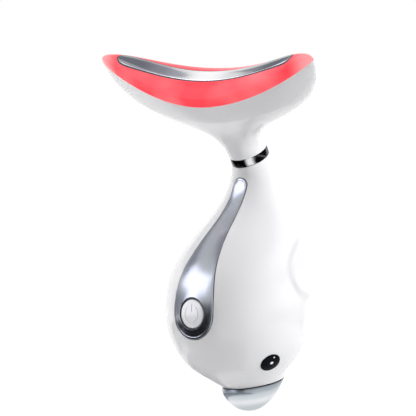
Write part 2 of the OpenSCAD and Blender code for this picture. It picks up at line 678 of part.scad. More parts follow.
front_shell();
back_shell();
trim_ribbon();
button_guide();
power_button();
switch_plunger();
tact_switch();
main_board();
board_screws();
chassis();
chassis_screws();
battery();
battery_leads();
usb_socket();
usb_tongue();
usb_board();
usb_leads();
round_base();
left_eye();
right_eye();
shell_screws();
neck_core();
neck_ring();
neck_seal();
head_shell();
led_window();
massage_plate();
plate_gasket();
heater_film();
thermistor();
plate_contacts();
led_board();
leds();
head_carrier();
motor_case();
motor_sleeve();
motor_shaft();
motor_weight();
head_harness();
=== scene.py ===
"""Dressed scene of a hand-held facial massager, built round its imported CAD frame.

The handle, its silver ribbon, the push button, the face and the wing-shaped head are drawn again from the
sizes of the CAD model with many more sections. The pieces inside the closed housing keep their CAD meshes
and get finishes of their own. Forms are given in millimetres and degrees. Finishes and the studio, which
belong to Blender's own nodes and objects, are given in metres and degrees.
"""

import logging
import math
from contextlib import contextmanager
from dataclasses import dataclass
from enum import Enum
from typing import Iterator, Sequence

import bmesh
import bpy
import numpy as np
from mathutils import Matrix, Vector


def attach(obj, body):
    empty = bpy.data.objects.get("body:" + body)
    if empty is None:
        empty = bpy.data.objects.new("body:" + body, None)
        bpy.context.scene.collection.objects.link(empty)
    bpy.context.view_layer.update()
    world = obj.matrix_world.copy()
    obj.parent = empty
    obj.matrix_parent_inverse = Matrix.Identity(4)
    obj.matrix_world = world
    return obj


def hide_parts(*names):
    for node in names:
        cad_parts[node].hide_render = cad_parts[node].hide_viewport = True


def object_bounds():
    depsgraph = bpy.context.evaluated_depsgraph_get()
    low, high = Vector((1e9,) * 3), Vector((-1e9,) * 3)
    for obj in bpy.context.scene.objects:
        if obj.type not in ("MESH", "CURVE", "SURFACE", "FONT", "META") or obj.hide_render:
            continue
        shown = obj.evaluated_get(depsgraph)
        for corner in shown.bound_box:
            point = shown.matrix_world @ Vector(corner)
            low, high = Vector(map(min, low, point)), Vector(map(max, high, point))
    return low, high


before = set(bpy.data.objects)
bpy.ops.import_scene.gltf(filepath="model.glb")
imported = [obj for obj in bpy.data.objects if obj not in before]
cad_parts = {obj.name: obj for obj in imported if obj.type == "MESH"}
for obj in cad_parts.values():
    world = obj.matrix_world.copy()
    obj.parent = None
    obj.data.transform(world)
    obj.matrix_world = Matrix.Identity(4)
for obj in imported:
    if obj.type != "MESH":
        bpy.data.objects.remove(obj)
CAD_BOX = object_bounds()

LOG = logging.getLogger("massager")
MM = 0.001
SLIVER = 0.002
GRAIN = 900.0
HOUSING, BUTTON = "housing", "button"

Pair = tuple[float, float]
Rgb = tuple[float, float, float]
Face = tuple[int, ...]
Array = np.ndarray
Object, Material, Socket = bpy.types.Object, bpy.types.Material, bpy.types.NodeSocket


class LightMode(Enum):
    """Colour of the light that the head gives."""

    RED = (1.0, 0.065, 0.09)
    GREEN = (0.08, 0.80, 0.13)
    BLUE = (0.08, 0.45, 0.90)


class Bump(Enum):
    """Kinds of fine relief: stretch of the grain along each axis, and depth in metres."""

    MOULDED = ((1.0, 1.0, 1.0), 0.00002)
    BRUSHED = ((0.06, 1.0, 1.0), 0.00002)
    CAST = ((1.0, 1.0, 1.0), 0.00006)
    WOVEN = ((1.0, 1.0, 0.2), 0.00002)


# Numbers and points


def ease(x: Array) -> Array:
    """Smooth step of x between 0 and 1."""
    c = np.clip(x, 0.0, 1.0)
    return c * c * (3.0 - 2.0 * c)


def bezier(t: Array, v: Sequence[float]) -> Array:
    """Value at t on a cubic curve through the first and last of four values."""
    return (1 - t) ** 3 * v[0] + 3 * t * (1 - t) ** 2 * v[1] + 3 * t * t * (1 - t) * v[2] + t**3 * v[3]


def through(table: Array, t: Array) -> Array:
    """Smooth curve through every value of a table.

    Args:
        table: Values at equal steps.
        t: Places along the curve, between 0 and 1.

    Returns:
        The values at those places.
    """
    last = len(table) - 1
    x = np.clip(t, 0.0, 1.0) * last
    i = np.minimum(x.astype(int), last - 1)
    f = x - i
    long = np.concatenate([[2 * table[0] - table[1]], table, [2 * table[-1] - table[-2]]])
    a, b, c, d = long[i], long[i + 1], long[i + 2], long[i + 3]
    return 0.5 * (2 * b + (c - a) * f + (2 * a - 5 * b + 4 * c - d) * f * f + (3 * b - a - 3 * c + d) * f**3)


def unit(v: Array) -> Array:
    """Vectors of length one along v."""
    return v / np.linalg.norm(v, axis=-1, keepdims=True)


def turn_x(degrees: float) -> Matrix:
    """Rotation about the X axis."""
    return Matrix.Rotation(math.radians(degrees), 4, "X")


def carried(points: Array, place: Matrix) -> Array:
    """Points moved by a matrix, keeping their arrangement."""
    return points @ np.array(place.to_3x3()).T + np.array(place.translation)


# Meshes


def linked(name: str, data: bpy.types.ID) -> Object:
    """New object in the scene.

    Args:
        name: Name of the object.
        data: Its mesh, light or camera.

    Returns:
        The object.
    """
    thing = bpy.data.objects.new(name, data)
    bpy.context.scene.collection.objects.link(thing)
    return thing


@contextmanager
def edited(mesh: bpy.types.Mesh) -> Iterator[bmesh.types.BMesh]:
    """Open a mesh for editing and write it back at the end.

    Args:
        mesh: Mesh to change.

    Yields:
        Its editable form.
    """
    work = bmesh.new()
    work.from_mesh(mesh)
    yield work
    work.to_mesh(mesh)
    work.free()


def grid_faces(rows: int, columns: int, wrap: bool = False, start: int = 0, flip: bool = False) -> list[Face]:
    """Faces of a sheet of points in rows.

    Args:
        rows: Number of rows.
        columns: Points in each row.
        wrap: True if each row closes on itself.
        start: Index of the sheet's first point.
        flip: True to turn the faces over.

    Returns:
        One tuple of four indices for each face.
    """
    faces = []
    for i in range(rows - 1):
        for j in range(columns if wrap else columns - 1):
            a, b = start + i * columns + j, start + i * columns + (j + 1) % columns
            face = (a, a + columns, b + columns, b)
            faces.append(face[::-1] if flip else face)
    return faces


def band(first: Sequence[int], second: Sequence[int], wrap: bool = False) -> list[Face]:
    """Faces between two edges of equal length."""
    n = len(first)
    return [(first[i], first[(i + 1) % n], second[(i + 1) % n], second[i]) for i in range(n if wrap else n - 1)]


def make_object(name: str, points: Array, faces: Sequence[Face], weld: float = 0.0) -> Object:
    """Smooth mesh object with outward faces.

    Args:
        name: Name of the piece.
        points: Points in any arrangement of triples.
        faces: Indices of each face's points.
        weld: Distance within which points become one, or 0.

    Returns:
        The new object, linked to the scene.
    """
    mesh = bpy.data.meshes.new(name)
    mesh.from_pydata((np.asarray(points, float).reshape(-1, 3) * MM).tolist(), [], faces)
    with edited(mesh) as work:
        if weld:
            bmesh.ops.remove_doubles(work, verts=work.verts, dist=weld * MM)
        bmesh.ops.recalc_face_normals(work, faces=work.faces)
    smooth(mesh)
    return linked(name, mesh)


def smooth(mesh: bpy.types.Mesh, angle: float = 32.0) -> None:
    """Shade a mesh smooth, but leave its sharper edges.

    Args:
        mesh: Mesh to shade.
        angle: Least angle between the faces at a sharp edge.
    """
    limit = math.radians(angle)
    with edited(mesh) as work:
        for face in work.faces:
            face.smooth = True
        for edge in work.edges:
            edge.smooth = not (len(edge.link_faces) == 2 and edge.calc_face_angle(0.0) > limit)


def shell(name: str, outer: Array, inner: Array, wrap: bool = False) -> Object:
    """Closed solid between two sheets of points.

    Args:
        name: Name of the piece.
        outer: Points of the outer sheet, rows by columns by 3.
        inner: Points of the inner sheet, arranged in the same way.
        wrap: True if each row closes on itself.

    Returns:
        The new object.
    """
    rows, columns = outer.shape[:2]
    base = rows * columns
    faces = grid_faces(rows, columns, wrap) + grid_faces(rows, columns, wrap, base, flip=True)
    for edge in (range(columns), range(base - columns, base)):
        faces += band(edge, [i + base for i in edge], wrap)
    if not wrap:
        for edge in (range(0, base, columns), range(columns - 1, base, columns)):
            faces += band(edge, [i + base for i in edge])
    return make_object(name, np.concatenate([outer.reshape(-1, 3), inner.reshape(-1, 3)]), faces)


def closed_rings(name: str, rings: Array, weld: float = 0.0) -> Object:
    """Closed solid through loops of points, the last joined to the first.

    Args:
        name: Name of the piece.
        rings: Points, one row for each loop.
        weld: Distance within which points become one, or 0.

    Returns:
        The new object.
    """
    rows, count = rings.shape[:2]
    seam = band(range((rows - 1) * count, rows * count), range(count), wrap=True)
    return make_object(name, rings, grid_faces(rows, count, wrap=True) + seam, weld)


def lathe(name: str, profile: Sequence[Pair], place: Matrix, sides: int = 128) -> Object:
    """Body of revolution about Z, then moved into place.

    Args:
        name: Name of the piece.
        profile: Closed outline of radius and height.
        place: Matrix that carries the body to where it belongs.
        sides: Number of steps round the axis.

    Returns:
        The new object.
    """
    angle = np.arange(sides) * 2 * math.pi / sides
    outline = np.array(profile, float)
    points = np.empty((len(outline), sides, 3))
    points[:, :, :2] = outline[:, None, :1] * np.stack([np.cos(angle), np.sin(angle)], 1)[None]
    points[:, :, 2] = outline[:, 1:2]
    return closed_rings(name, carried(points, place), SLIVER / 4)


def rounded(profile: Sequence[Pair], corners: dict[int, float], steps: int = 6) -> list[Pair]:
    """Outline with some of its corners rounded.

    Args:
        profile: Closed outline of points.
        corners: Index of each corner to round, with its radius.
        steps: Number of steps in each rounded corner.

    Returns:
        The new outline.
    """
    made: list[Pair] = []
    for i, here in enumerate(profile):
        if i not in corners:
            made.append(here)
            continue
        p = Vector(here)
        before = (Vector(profile[i - 1]) - p).normalized()
        after = (Vector(profile[(i + 1) % len(profile)]) - p).normalized()
        reach = corners[i] / math.tan(before.angle(after) / 2)
        a, b = p + before * reach, p + after * reach
        for s in range(steps + 1):
            f = s / steps
            made.append(tuple(a * (1 - f) ** 2 + p * 2 * f * (1 - f) + b * f * f))
    return made


def mend(mesh: bpy.types.Mesh) -> None:
    """Clear the slivers and folded ears that a cut leaves.

    Args:
        mesh: Mesh to mend.
    """
    with edited(mesh) as work:
        bmesh.ops.remove_doubles(work, verts=work.verts, dist=SLIVER * MM)
        bmesh.ops.dissolve_degenerate(work, edges=work.edges, dist=SLIVER * MM)
        bmesh.ops.triangulate(work, faces=[face for face in work.faces if len(face.verts) > 4])
        twins: dict[frozenset, list[bmesh.types.BMFace]] = {}
        for face in work.faces:
            twins.setdefault(frozenset(face.verts), []).append(face)
        ears = [face for pair in twins.values() if len(pair) > 1 for face in pair]
        bmesh.ops.delete(work, geom=ears, context="FACES")


def cut(piece: Object, tools: Sequence[Object], take_finish: bool = False) -> None:
    """Cut tools out of a piece for good, then delete them.

    Args:
        piece: Mesh object to cut.
        tools: Closed mesh objects to take away.
        take_finish: True if the cut faces take the tools' materials.
    """
    for tool in tools:
        modifier = piece.modifiers.new("cut", "BOOLEAN")
        modifier.operation = "DIFFERENCE"
        modifier.solver = "EXACT"
        modifier.object = tool
        modifier.material_mode = "TRANSFER" if take_finish else "INDEX"
    graph = bpy.context.evaluated_depsgraph_get()
    mesh = bpy.data.meshes.new_from_object(piece.evaluated_get(graph), depsgraph=graph)
    old = piece.data
    piece.modifiers.clear()
    piece.data = mesh
    mesh.name = piece.name
    bpy.data.meshes.remove(old)
    for tool in tools:
        bpy.data.objects.remove(tool)
    mend(mesh)
    smooth(mesh)


def settle(piece: Object, body: str, slot: str, finish: Material, *nodes: str) -> None:
    """Dress a finished piece, tie it to the frame and report it.

    Args:
        piece: The mesh object.
        body: CAD body that it rides on.
        slot: Not used.
        finish: Material for its first slot.
        nodes: CAD nodes that it stands for.
    """
    if piece.data.materials:
        piece.data.materials[0] = finish
    else:
        piece.data.materials.append(finish)
    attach(piece, body)
    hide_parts(*nodes)
    LOG.info("%s: %d faces, stands for %s", piece.name, len(piece.data.polygons), ", ".join(nodes))


# Finishes


class Wiring:
    """Short way to add and join the nodes of a tree."""

    def __init__(self, tree: bpy.types.NodeTree) -> None:
        """Take the tree that the nodes go into."""
        self.tree = tree

    def add(self, kind: str, **values: object) -> bpy.types.Node:
        """New node with its properties and input values set.

        Args:
            kind: Blender's name of the node, without its ShaderNode prefix.
            values: Properties, or inputs by name with spaces written as underscores.

        Returns:
            The node.
        """
        node = self.tree.nodes.new("ShaderNode" + kind)
        for key, value in values.items():
            if hasattr(node, key):
                setattr(node, key, value)
            else:
                node.inputs[key.replace("_", " ")].default_value = value
        return node

    def link(self, source: Socket, target: Socket) -> None:
        """Join two sockets."""
        self.tree.links.new(source, target)

    def flow(self, kind: str, sources: Sequence[Socket], **values: object) -> Socket:
        """Add a node and link sources to its first inputs.

        Args:
            kind: Blender's name of the node, without its ShaderNode prefix.
            sources: Sockets that feed the first inputs, in order.
            values: Properties and input values, as for add.

        Returns:
            The node's first output.
        """
        node = self.add(kind, **values)
        for source, target in zip(sources, node.inputs):
            self.link(source, target)
        return node.outputs[0]

    def place(self, scale: Rgb = (1.0, 1.0, 1.0)) -> Socket:
        """Point on the surface in the object's own metres, scaled along each axis."""
        return self.flow("Mapping", [self.add("TexCoord").outputs["Object"]], Scale=scale)

    def measure(self, operation: str, other: Sequence[float]) -> Socket:
        """Compare each point of the surface with a vector.

        Args:
            operation: DISTANCE from it or DOT_PRODUCT with it.
            other: The vector, in metres.

        Returns:
            The result.
        """
        node = self.add("VectorMath", operation=operation)
        node.inputs[1].default_value = other
        self.link(self.place(), node.inputs[0])
        return node.outputs["Value"]

    def noise(self, scale: float, detail: float = 3.0, stretch: Rgb = (1.0, 1.0, 1.0)) -> Socket:
        """Factor of a noise of a given scale, stretched along the axes."""
        return self.flow("TexNoise", [self.place(stretch)], Scale=scale, Detail=detail)

    def remap(self, value: Socket, start: float, end: float, low: float, high: float, **values: object) -> Socket:
        """Carry a value from the range between start and end to the one between low and high, and hold it there."""
        return self.flow("MapRange", [value], From_Min=start, From_Max=end, To_Min=low, To_Max=high, **values)

    def spread(self, factor: Socket, low: float, high: float) -> Socket:
        """Range of values over the middle part of a noise, where most of it lies."""
        return self.remap(factor, 0.3, 0.7, low, high)

    def most(self, first: Socket, second: Socket) -> Socket:
        """Larger of two values."""
        return self.flow("Math", [first, second], operation="MAXIMUM")

    def blend(self, factor: Socket, a: Rgb, b: Rgb) -> Socket:
        """Mix two colours.

        Args:
            factor: Share of the second colour.
            a: First colour.
            b: Second colour.

        Returns:
            The mixed colour.
        """
        node = self.add("Mix", data_type="RGBA")
        node.inputs[6].default_value, node.inputs[7].default_value = (*a, 1.0), (*b, 1.0)
        self.link(factor, node.inputs[0])
        return node.outputs[2]

    def seen(self) -> Socket:
        """Factor that is one for camera, mirror and glass rays."""
        path = self.add("LightPath").outputs
        return self.most(self.most(path["Is Camera Ray"], path["Is Glossy Ray"]), path["Is Transmission Ray"])


class Surface(Wiring):
    """Node material round one Principled shader."""

    def __init__(self, name: str) -> None:
        """Start a material with an empty tree, an output and a Principled shader.

        Args:
            name: Name of the material.
        """
        self.material = bpy.data.materials.new(name)
        self.material.use_nodes = True
        super().__init__(self.material.node_tree)
        self.tree.nodes.clear()
        self.out, self.shader = self.add("OutputMaterial"), self.add("BsdfPrincipled")
        self.link(self.shader.outputs[0], self.out.inputs[0])

    def feed(self, **inputs: Socket | float) -> Material:
        """Give the shader its inputs.

        Args:
            inputs: Socket or constant value of each input, with spaces written as underscores.

        Returns:
            The material.
        """
        for key, value in inputs.items():
            target = self.shader.inputs[key.replace("_", " ")]
            if isinstance(value, Socket):
                self.link(value, target)
            else:
                target.default_value = value
        return self.material

    def texture(self, bump: Bump, grain: float, relief: float, rough: Pair) -> None:
        """Feed the shader's roughness and normal from one fine noise.

        Args:
            bump: Kind of relief.
            grain: Scale of the noise.
            relief: Strength of the relief.
            rough: Least and most roughness.
        """
        stretch, depth = bump.value
        fine = self.noise(grain, 4.0, stretch)
        node = self.add("Bump", Strength=relief, Distance=depth)
        self.link(fine, node.inputs["Height"])
        self.feed(Roughness=self.spread(fine, *rough), Normal=node.outputs[0])


@dataclass(frozen=True)
class Finish:
    """Surface with a little variation of colour and gloss and a fine relief."""

    name: str
    colour: Rgb
    second: Rgb
    rough: Pair = (0.3, 0.4)
    metal: float = 0.0
    coat: float = 0.0
    coat_rough: float = 0.04
    bump: Bump = Bump.MOULDED
    relief: float = 0.08
    grain: float = GRAIN
    tone: float = 60.0

    def material(self) -> Material:
        """Node material of this finish.

        Returns:
            The material.
        """
        n = Surface(self.name)
        n.texture(self.bump, self.grain, self.relief, self.rough)
        return n.feed(Base_Color=n.blend(n.noise(self.tone), self.colour, self.second), Metallic=self.metal,
                      Coat_Weight=self.coat, Coat_Roughness=self.coat_rough)


@dataclass(frozen=True)
class ReflectionPaintedMetal:
    """Brushed metal with a painted reflection: colour bands along a direction in the object's own metres stand in for
    the light and dark things that it mirrors.

    Each band has its share of the way between the limits and its colour. A mirrored metal has the same painted bands
    at equal distances on both sides of the middle.
    """

    name: str
    axis: Rgb
    limits: Pair
    painted_bands: tuple[tuple[float, Rgb], ...]
    rough: Pair
    mirrored: bool = False
    relief: float = 0.02

    def material(self) -> Material:
        """Node material of this metal.

        Returns:
            The material.
        """
        n = Surface(self.name)
        where = n.measure("DOT_PRODUCT", self.axis)
        if self.mirrored:
            where = n.flow("Math", [where], operation="ABSOLUTE")
        # Colour ramp of the painted reflection: light and dark bands along the axis.
        ramp = n.add("ValToRGB")
        ramp.color_ramp.interpolation = "EASE"
        stops = ramp.color_ramp.elements
        for i, (place, colour) in enumerate(self.painted_bands):
            stop = stops[i] if i < 2 else stops.new(place)
            stop.position, stop.color = place, (*colour, 1.0)
        n.link(n.remap(where, *self.limits, 0.0, 1.0), ramp.inputs[0])
        n.texture(Bump.BRUSHED, GRAIN, self.relief, self.rough)
        return n.feed(Base_Color=ramp.outputs[0], Metallic=1.0)


@dataclass(frozen=True)
class GlowFinish:
    """Frosted window lit from behind, with soft pale clouds and pale tips.

    The field thin is the part of the noise that makes clouds, and most is how much they pale. The field tips
    holds the distances from the middle where the ends begin to pale and are palest.
    """

    mode: LightMode
    glow: float = 0.78
    unlit: float = 0.4
    white: float = 0.3
    clouds: float = 38.0
    thin: Pair = (0.46, 0.78)
    most: float = 0.5
    tips: Pair = (0.0385, 0.0475)

    def material(self) -> Material:
        """Node material of the lit window.

        Returns:
            The material.
        """
        n = Surface("window_glow")
        deep = self.mode.value
        pale = tuple(self.white + (1 - self.white) * c for c in deep)
        clouds = n.remap(n.noise(self.clouds, 2.5, (1.0, 1.6, 1.6)), *self.thin, 0.0, self.most)
        along = n.flow("Math", [n.measure("DOT_PRODUCT", (1.0, 0.0, 0.0))], operation="ABSOLUTE")
        fade = n.remap(along, *self.tips, 0.0, 1.0, interpolation_type="SMOOTHSTEP")
        colour = n.blend(n.most(clouds, fade), deep, pale)
        skin = n.add("Mix", data_type="RGBA", blend_type="MULTIPLY")
        skin.inputs[0].default_value = 1.0
        skin.inputs[7].default_value = (self.unlit, self.unlit, self.unlit, 1.0)
        n.link(colour, skin.inputs[6])
        return n.feed(Base_Color=skin.outputs[2], Emission_Color=colour, Emission_Strength=self.glow,
                      Roughness=n.spread(n.noise(700.0), 0.16, 0.24), Specular_IOR_Level=0.12)


@dataclass(frozen=True)
class EyeFinish:
    """Black gloss with small white dots.

    Each dot has its centre and radius. The field edge is the part of the radius over which its white ends.
    """

    dots: tuple[tuple[Rgb, float], ...]
    edge: Pair = (0.88, 1.1)

    def material(self) -> Material:
        """Node material of the eyes.

        Returns:
            The material.
        """
        n = Surface("eye_gloss")
        near, far = self.edge
        spots = [n.remap(n.measure("DISTANCE", centre), radius * near, radius * far, 1.0, 0.0)
                 for centre, radius in self.dots]
        white = spots[0]
        for spot in spots[1:]:
            white = n.most(white, spot)
        return n.feed(Base_Color=n.blend(white, (0.004, 0.005, 0.008), (0.93, 0.93, 0.93)),
                      Roughness=n.spread(n.noise(GRAIN), 0.05, 0.09), Specular_IOR_Level=0.03)


WHITE = Finish("gloss_white", (0.83, 0.83, 0.845), (0.815, 0.815, 0.83), (0.15, 0.21), coat=0.35, relief=0.02)
SILVER = Finish("ribbon_metal", (0.40, 0.42, 0.455), (0.38, 0.40, 0.435), (0.20, 0.26), metal=1.0, relief=0.03)
DARK_GAP = Finish("dark_gap", (0.03, 0.032, 0.04), (0.04, 0.042, 0.05))
CAP_WHITE = Finish("cap_white", (0.90, 0.90, 0.93), (0.88, 0.88, 0.91), (0.16, 0.22), coat=0.6, relief=0.03)
MARK_GREY = Finish("mark_grey", (0.84, 0.84, 0.88), (0.80, 0.80, 0.84), (0.35, 0.45))
SEAL_DARK = Finish("seal_dark", (0.03, 0.032, 0.036), (0.045, 0.046, 0.05), (0.4, 0.55))


# The forms that several pieces share


@dataclass(frozen=True)
class Bulb:
    """Plump handle: leaning round sections from the lip at its foot to the ring at its neck.

    Each station has the height, place along Y, radius and lean of a section. The sections are evened out over a
    part of the step between them. The fin's front edge bows back by fin_bow degrees at its ends.
    """

    stations: tuple[tuple[float, float, float, float], ...] = (
        (10.6, 6.3, 11.2, 14), (13, 3, 13.9, 9), (16.3, -0.1, 18.1, 4), (21.5, -1, 22, 1),
        (30, -1.4, 25.3, 0), (40, -0.2, 26.3, 0), (50, 2.1, 25.4, 0), (60, 5.2, 20.9, 0),
        (68.5, 7.8, 15.8, 2), (76.5, 8.8, 11.6, 8), (83.5, 8, 9, 18), (88.7, 4.95, 6.95, 30))
    even: float = 0.34
    halvings: int = 26
    lowest_t: float = 0.08
    wall: float = 2.2
    fin_rise: float = 0.9
    fin_step: float = 3.0
    fin_z: float = 51.0
    fin_half_h: float = 12.0
    fin_front: float = 75.0
    fin_bow: float = 22.0
    fin_flat: float = 4.0
    fin_fade: float = 14.0

    def section(self, t: Array, k: int) -> Array:
        """One column of the sections, a little evened out so that reflections run smoothly.

        Args:
            t: Places from the lip (0) to the neck (1).
            k: Column of the stations.

        Returns:
            The values at those places.
        """
        t = np.asarray(t, float)
        column = np.array(self.stations)[:, k]
        half = self.even / (len(column) - 1) * np.clip(np.minimum(t, 1 - t) * 10, 0.0, 1.0)
        return sum(0.2 * through(column, t + step * half) for step in (-1, -0.5, 0, 0.5, 1))

    def fin(self, t: Array, turn: Array) -> Array:
        """Rise of a side fin: a curved front edge that fades towards the back.

        Args:
            t: Places from the lip (0) to the neck (1).
            turn: Directions from the front.

        Returns:
            Height above the plain skin.
        """
        side = np.abs((turn + 180.0) % 360.0 - 180.0)
        up = (self.section(t, 0) - self.fin_z) / self.fin_half_h
        edge = self.fin_front + self.fin_bow * up * up
        behind = np.radians(side - edge) * self.section(t, 2)
        fade = 1 - ease((behind - self.fin_flat) / self.fin_fade)
        return self.fin_rise * ease(behind / self.fin_step) * fade * ease(2 * (1 - up * up))

    def skin(self, t: Array, turn: Array) -> Array:
        """Points on the outer skin.

        Args:
            t: Places from the lip (0) to the neck (1).
            turn: Directions from the front.

        Returns:
            The points.
        """
        t, turn = np.broadcast_arrays(np.asarray(t, float), np.asarray(turn, float))
        r = self.section(t, 2) + self.fin(t, turn)
        lean, angle = np.radians(self.section(t, 3)), np.radians(turn)
        return np.stack([r * np.sin(angle), self.section(t, 1) - r * np.cos(angle) * np.cos(lean),
                         self.section(t, 0) - r * np.cos(angle) * np.sin(lean)], -1)

    def normal(self, t: Array, turn: Array) -> Array:
        """Outward unit normals of the skin, from points a small step apart.

        Args:
            t: Places from the lip (0) to the neck (1).
            turn: Directions from the front.

        Returns:
            The normals.
        """
        t, step, swing = np.asarray(t, float), 0.004, 0.5
        across = self.skin(t, turn + swing) - self.skin(t, turn - swing)
        along = self.skin(np.clip(t + step, 0, 1), turn) - self.skin(np.clip(t - step, 0, 1), turn)
        return unit(np.cross(across, along))

    def under(self, t: Array, turn: Array, depth: Array | float) -> Array:
        """Points below the skin. At the lip the wall runs straight up from its edge.

        Args:
            t: Places from the lip (0) to the neck (1).
            turn: Directions from the front.
            depth: Depth below the skin.

        Returns:
            The points.
        """
        t, turn = np.broadcast_arrays(np.asarray(t, float), np.asarray(turn, float))
        lip = np.clip(1 - t * (len(self.stations) - 1), 0, 1)[..., None]
        lean = np.radians(self.section(t, 3))
        up = np.stack([np.zeros_like(lean), -np.sin(lean), np.cos(lean)], -1)
        inward = unit(-self.normal(t, turn) * (1 - lip) + up * lip)
        return self.skin(t, turn) + np.asarray(depth)[..., None] * inward

    def level(self, z: Array, turn: float = 0.0) -> Array:
        """Value of t at which the skin reaches each height, by halving the range that holds it.

        Args:
            z: Heights above the lip.
            turn: Direction from the front.

        Returns:
            The values.
        """
        low, high = np.full(np.shape(z), self.lowest_t), np.ones(np.shape(z))
        for _ in range(self.halvings):
            middle = (low + high) / 2
            below = self.skin(middle, turn)[..., 2] < z
            low, high = np.where(below, middle, low), np.where(below, high, middle)
        return (low + high) / 2


BULB = Bulb()


@dataclass(frozen=True)
class Places:
    """Places and sizes that join the sub-assemblies."""

    button_z: float = 34.5
    ring_z: float = 90.0
    ring_h: float = 3.0
    neck_y: float = 4.2
    neck_r: float = 6.9
    ring_lean: float = 30.0
    head_lean: float = 39.0
    usb_z: float = 23.0
    usb_mouth_y: float = 20.5
    eye_z: float = 17.3
    eye_turn: float = 74.0

    def above(self, lean: float) -> Matrix:
        """Frame in the middle of the neck ring with a given lean."""
        return Matrix.Translation((0, self.neck_y, self.ring_z)) @ turn_x(lean)

    def neck(self) -> Matrix:
        """Frame of the neck ring, its Z along the ring's axis."""
        return self.above(self.ring_lean)

    def head(self) -> Matrix:
        """Frame of the head, its Z along the face's normal."""
        return self.above(self.head_lean)

    def button(self) -> Matrix:
        """Frame of the push button, its Z pointing out of the handle."""
        front = float(BULB.skin(BULB.level(np.array(self.button_z)), 0.0)[1])
        return Matrix.Translation((0, front, self.button_z)) @ turn_x(90)

    def eye(self, side: int) -> Matrix:
        """Frame of an eye, its Z pointing out of the handle.

        Args:
            side: -1 for the left eye and 1 for the right one.

        Returns:
            The frame.
        """
        t = BULB.level(np.array(self.eye_z), self.eye_turn)
        place, out = BULB.skin(t, side * self.eye_turn), Vector(BULB.normal(t, side * self.eye_turn))
        return Matrix.Translation(place) @ out.to_track_quat("Z", "Y").to_matrix().to_4x4()

    def lip(self) -> Matrix:
        """Frame of the lip round the silver foot."""
        z, y, _, lean = BULB.stations[0]
        return Matrix.Translation((0, y, z)) @ turn_x(lean)


PLACES = Places()


# Sub-assemblies


@dataclass(frozen=True)
class Ribbon:
    """Outline and section of the silver ribbon let into the front of the handle.

    Each bend has the height and half width of a point that draws the outline between its round ends. The panel
    lies below the rim at the foot of a short slope, and the seam is the gap round the ribbon in its pocket.
    """

    low_r: float = 9.0
    top_r: float = 3.1
    top_z: float = 78.6
    bend_high: Pair = (60.0, 2.8)
    bend_low: Pair = (52.0, 9.0)
    thick: float = 1.0
    proud: float = 0.15
    edge_round: float = 0.3
    rim: float = 0.75
    panel: float = 0.1
    panel_slope: Pair = (0.12, 0.3)
    seam: float = 0.28
    tool_rise: float = 1.5

    def outline(self, grow: float, count: int = 96) -> tuple[Array, Array]:
        """Right half of the outline and the middle points that it closes on.

        Args:
            grow: Distance by which the outline is widened.
            count: Points along the part between the ends.

        Returns:
            Height and half width of each point from the top to the bottom, and the same for the middle.
        """
        top = np.radians(np.linspace(90, 0, 28))[:-1]
        low = np.radians(np.linspace(0, 90, 40))[1:]
        b = np.linspace(0, 1, count)
        body_z = bezier(b, (self.top_z, self.bend_high[0], self.bend_low[0], PLACES.button_z))
        body_w = bezier(b, (self.top_r, self.bend_high[1], self.bend_low[1], self.low_r)) + grow
        top_r, low_r = self.top_r + grow, self.low_r + grow
        edge = np.concatenate([
            np.stack([self.top_z + top_r * np.sin(top), top_r * np.cos(top)], 1),
            np.stack([body_z, body_w], 1),
            np.stack([PLACES.button_z - low_r * np.sin(low), low_r * np.cos(low)], 1)])
        middle = np.stack([np.clip(edge[:, 0], PLACES.button_z, self.top_z), np.zeros(len(edge))], 1)
        return edge, middle

    def loops(self, insets: Sequence[float], depths: Sequence[float], grow: float) -> Array:
        """Closed loops on the handle's skin, from the outline inwards.

        Args:
            insets: Distance of each loop inwards from the outline.
            depths: Depth of each loop below the skin.
            grow: Distance by which the outline is widened.

        Returns:
            Points, one row for each loop.
        """
        edge, middle = self.outline(grow)
        full = np.concatenate([edge, (edge * (1, -1))[-2:0:-1]])
        centre = np.concatenate([middle, middle[-2:0:-1]])
        away = full - centre
        width = np.linalg.norm(away, axis=1, keepdims=True)
        rows = []
        for inset, depth in zip(insets, depths):
            plan = centre + away * np.clip(1 - inset / width, 0.0, 1.0)
            t = BULB.level(plan[:, 0])
            turn = np.degrees(plan[:, 1] / BULB.section(t, 2))
            rows.append(BULB.under(t, turn, np.full(len(plan), depth)))
        return np.array(rows)

    def solid(self, name: str, top: float, bottom: float, edge_round: float = 0.0, panel: float = 0.0,
              grow: float = 0.0) -> Object:
        """Closed solid of the ribbon's shape between two depths below the skin.

        Args:
            name: Name of the piece.
            top: Depth of the upper face, negative where it stands proud.
            bottom: Depth of the lower face.
            edge_round: Radius of the upper edge.
            panel: Depth of the panel inside the rim below the upper face.
            grow: Distance by which the outline is widened.

        Returns:
            The new object.
        """
        angles = np.radians(np.linspace(0, 90, 6))
        widest = self.low_r + grow
        corner, rise = edge_round * (1 - np.cos(angles)), top + edge_round * (1 - np.sin(angles))
        upper, lower = self.panel_slope
        inner = [self.rim, self.rim + upper, *np.linspace(self.rim + lower, widest, 14)]
        insets = [widest, *reversed(inner[:-1]), 0.0, *corner, *inner]
        depths = [bottom] * (len(inner) + 1) + [*rise, top] + [top + panel] * (len(inner) - 1)
        points = self.loops(insets, depths, grow)
        return make_object(name, points, grid_faces(*points.shape[:2], wrap=True), SLIVER)

    def piece(self) -> Object:
        """The ribbon itself, before its hole is cut."""
        return self.solid("silver_ribbon", -self.proud, self.thick - self.proud, self.edge_round, self.panel)

    def pocket(self) -> Object:
        """Tool that cuts the ribbon's pocket into the handle."""
        return self.solid("tool", -self.tool_rise, self.thick, grow=self.seam)


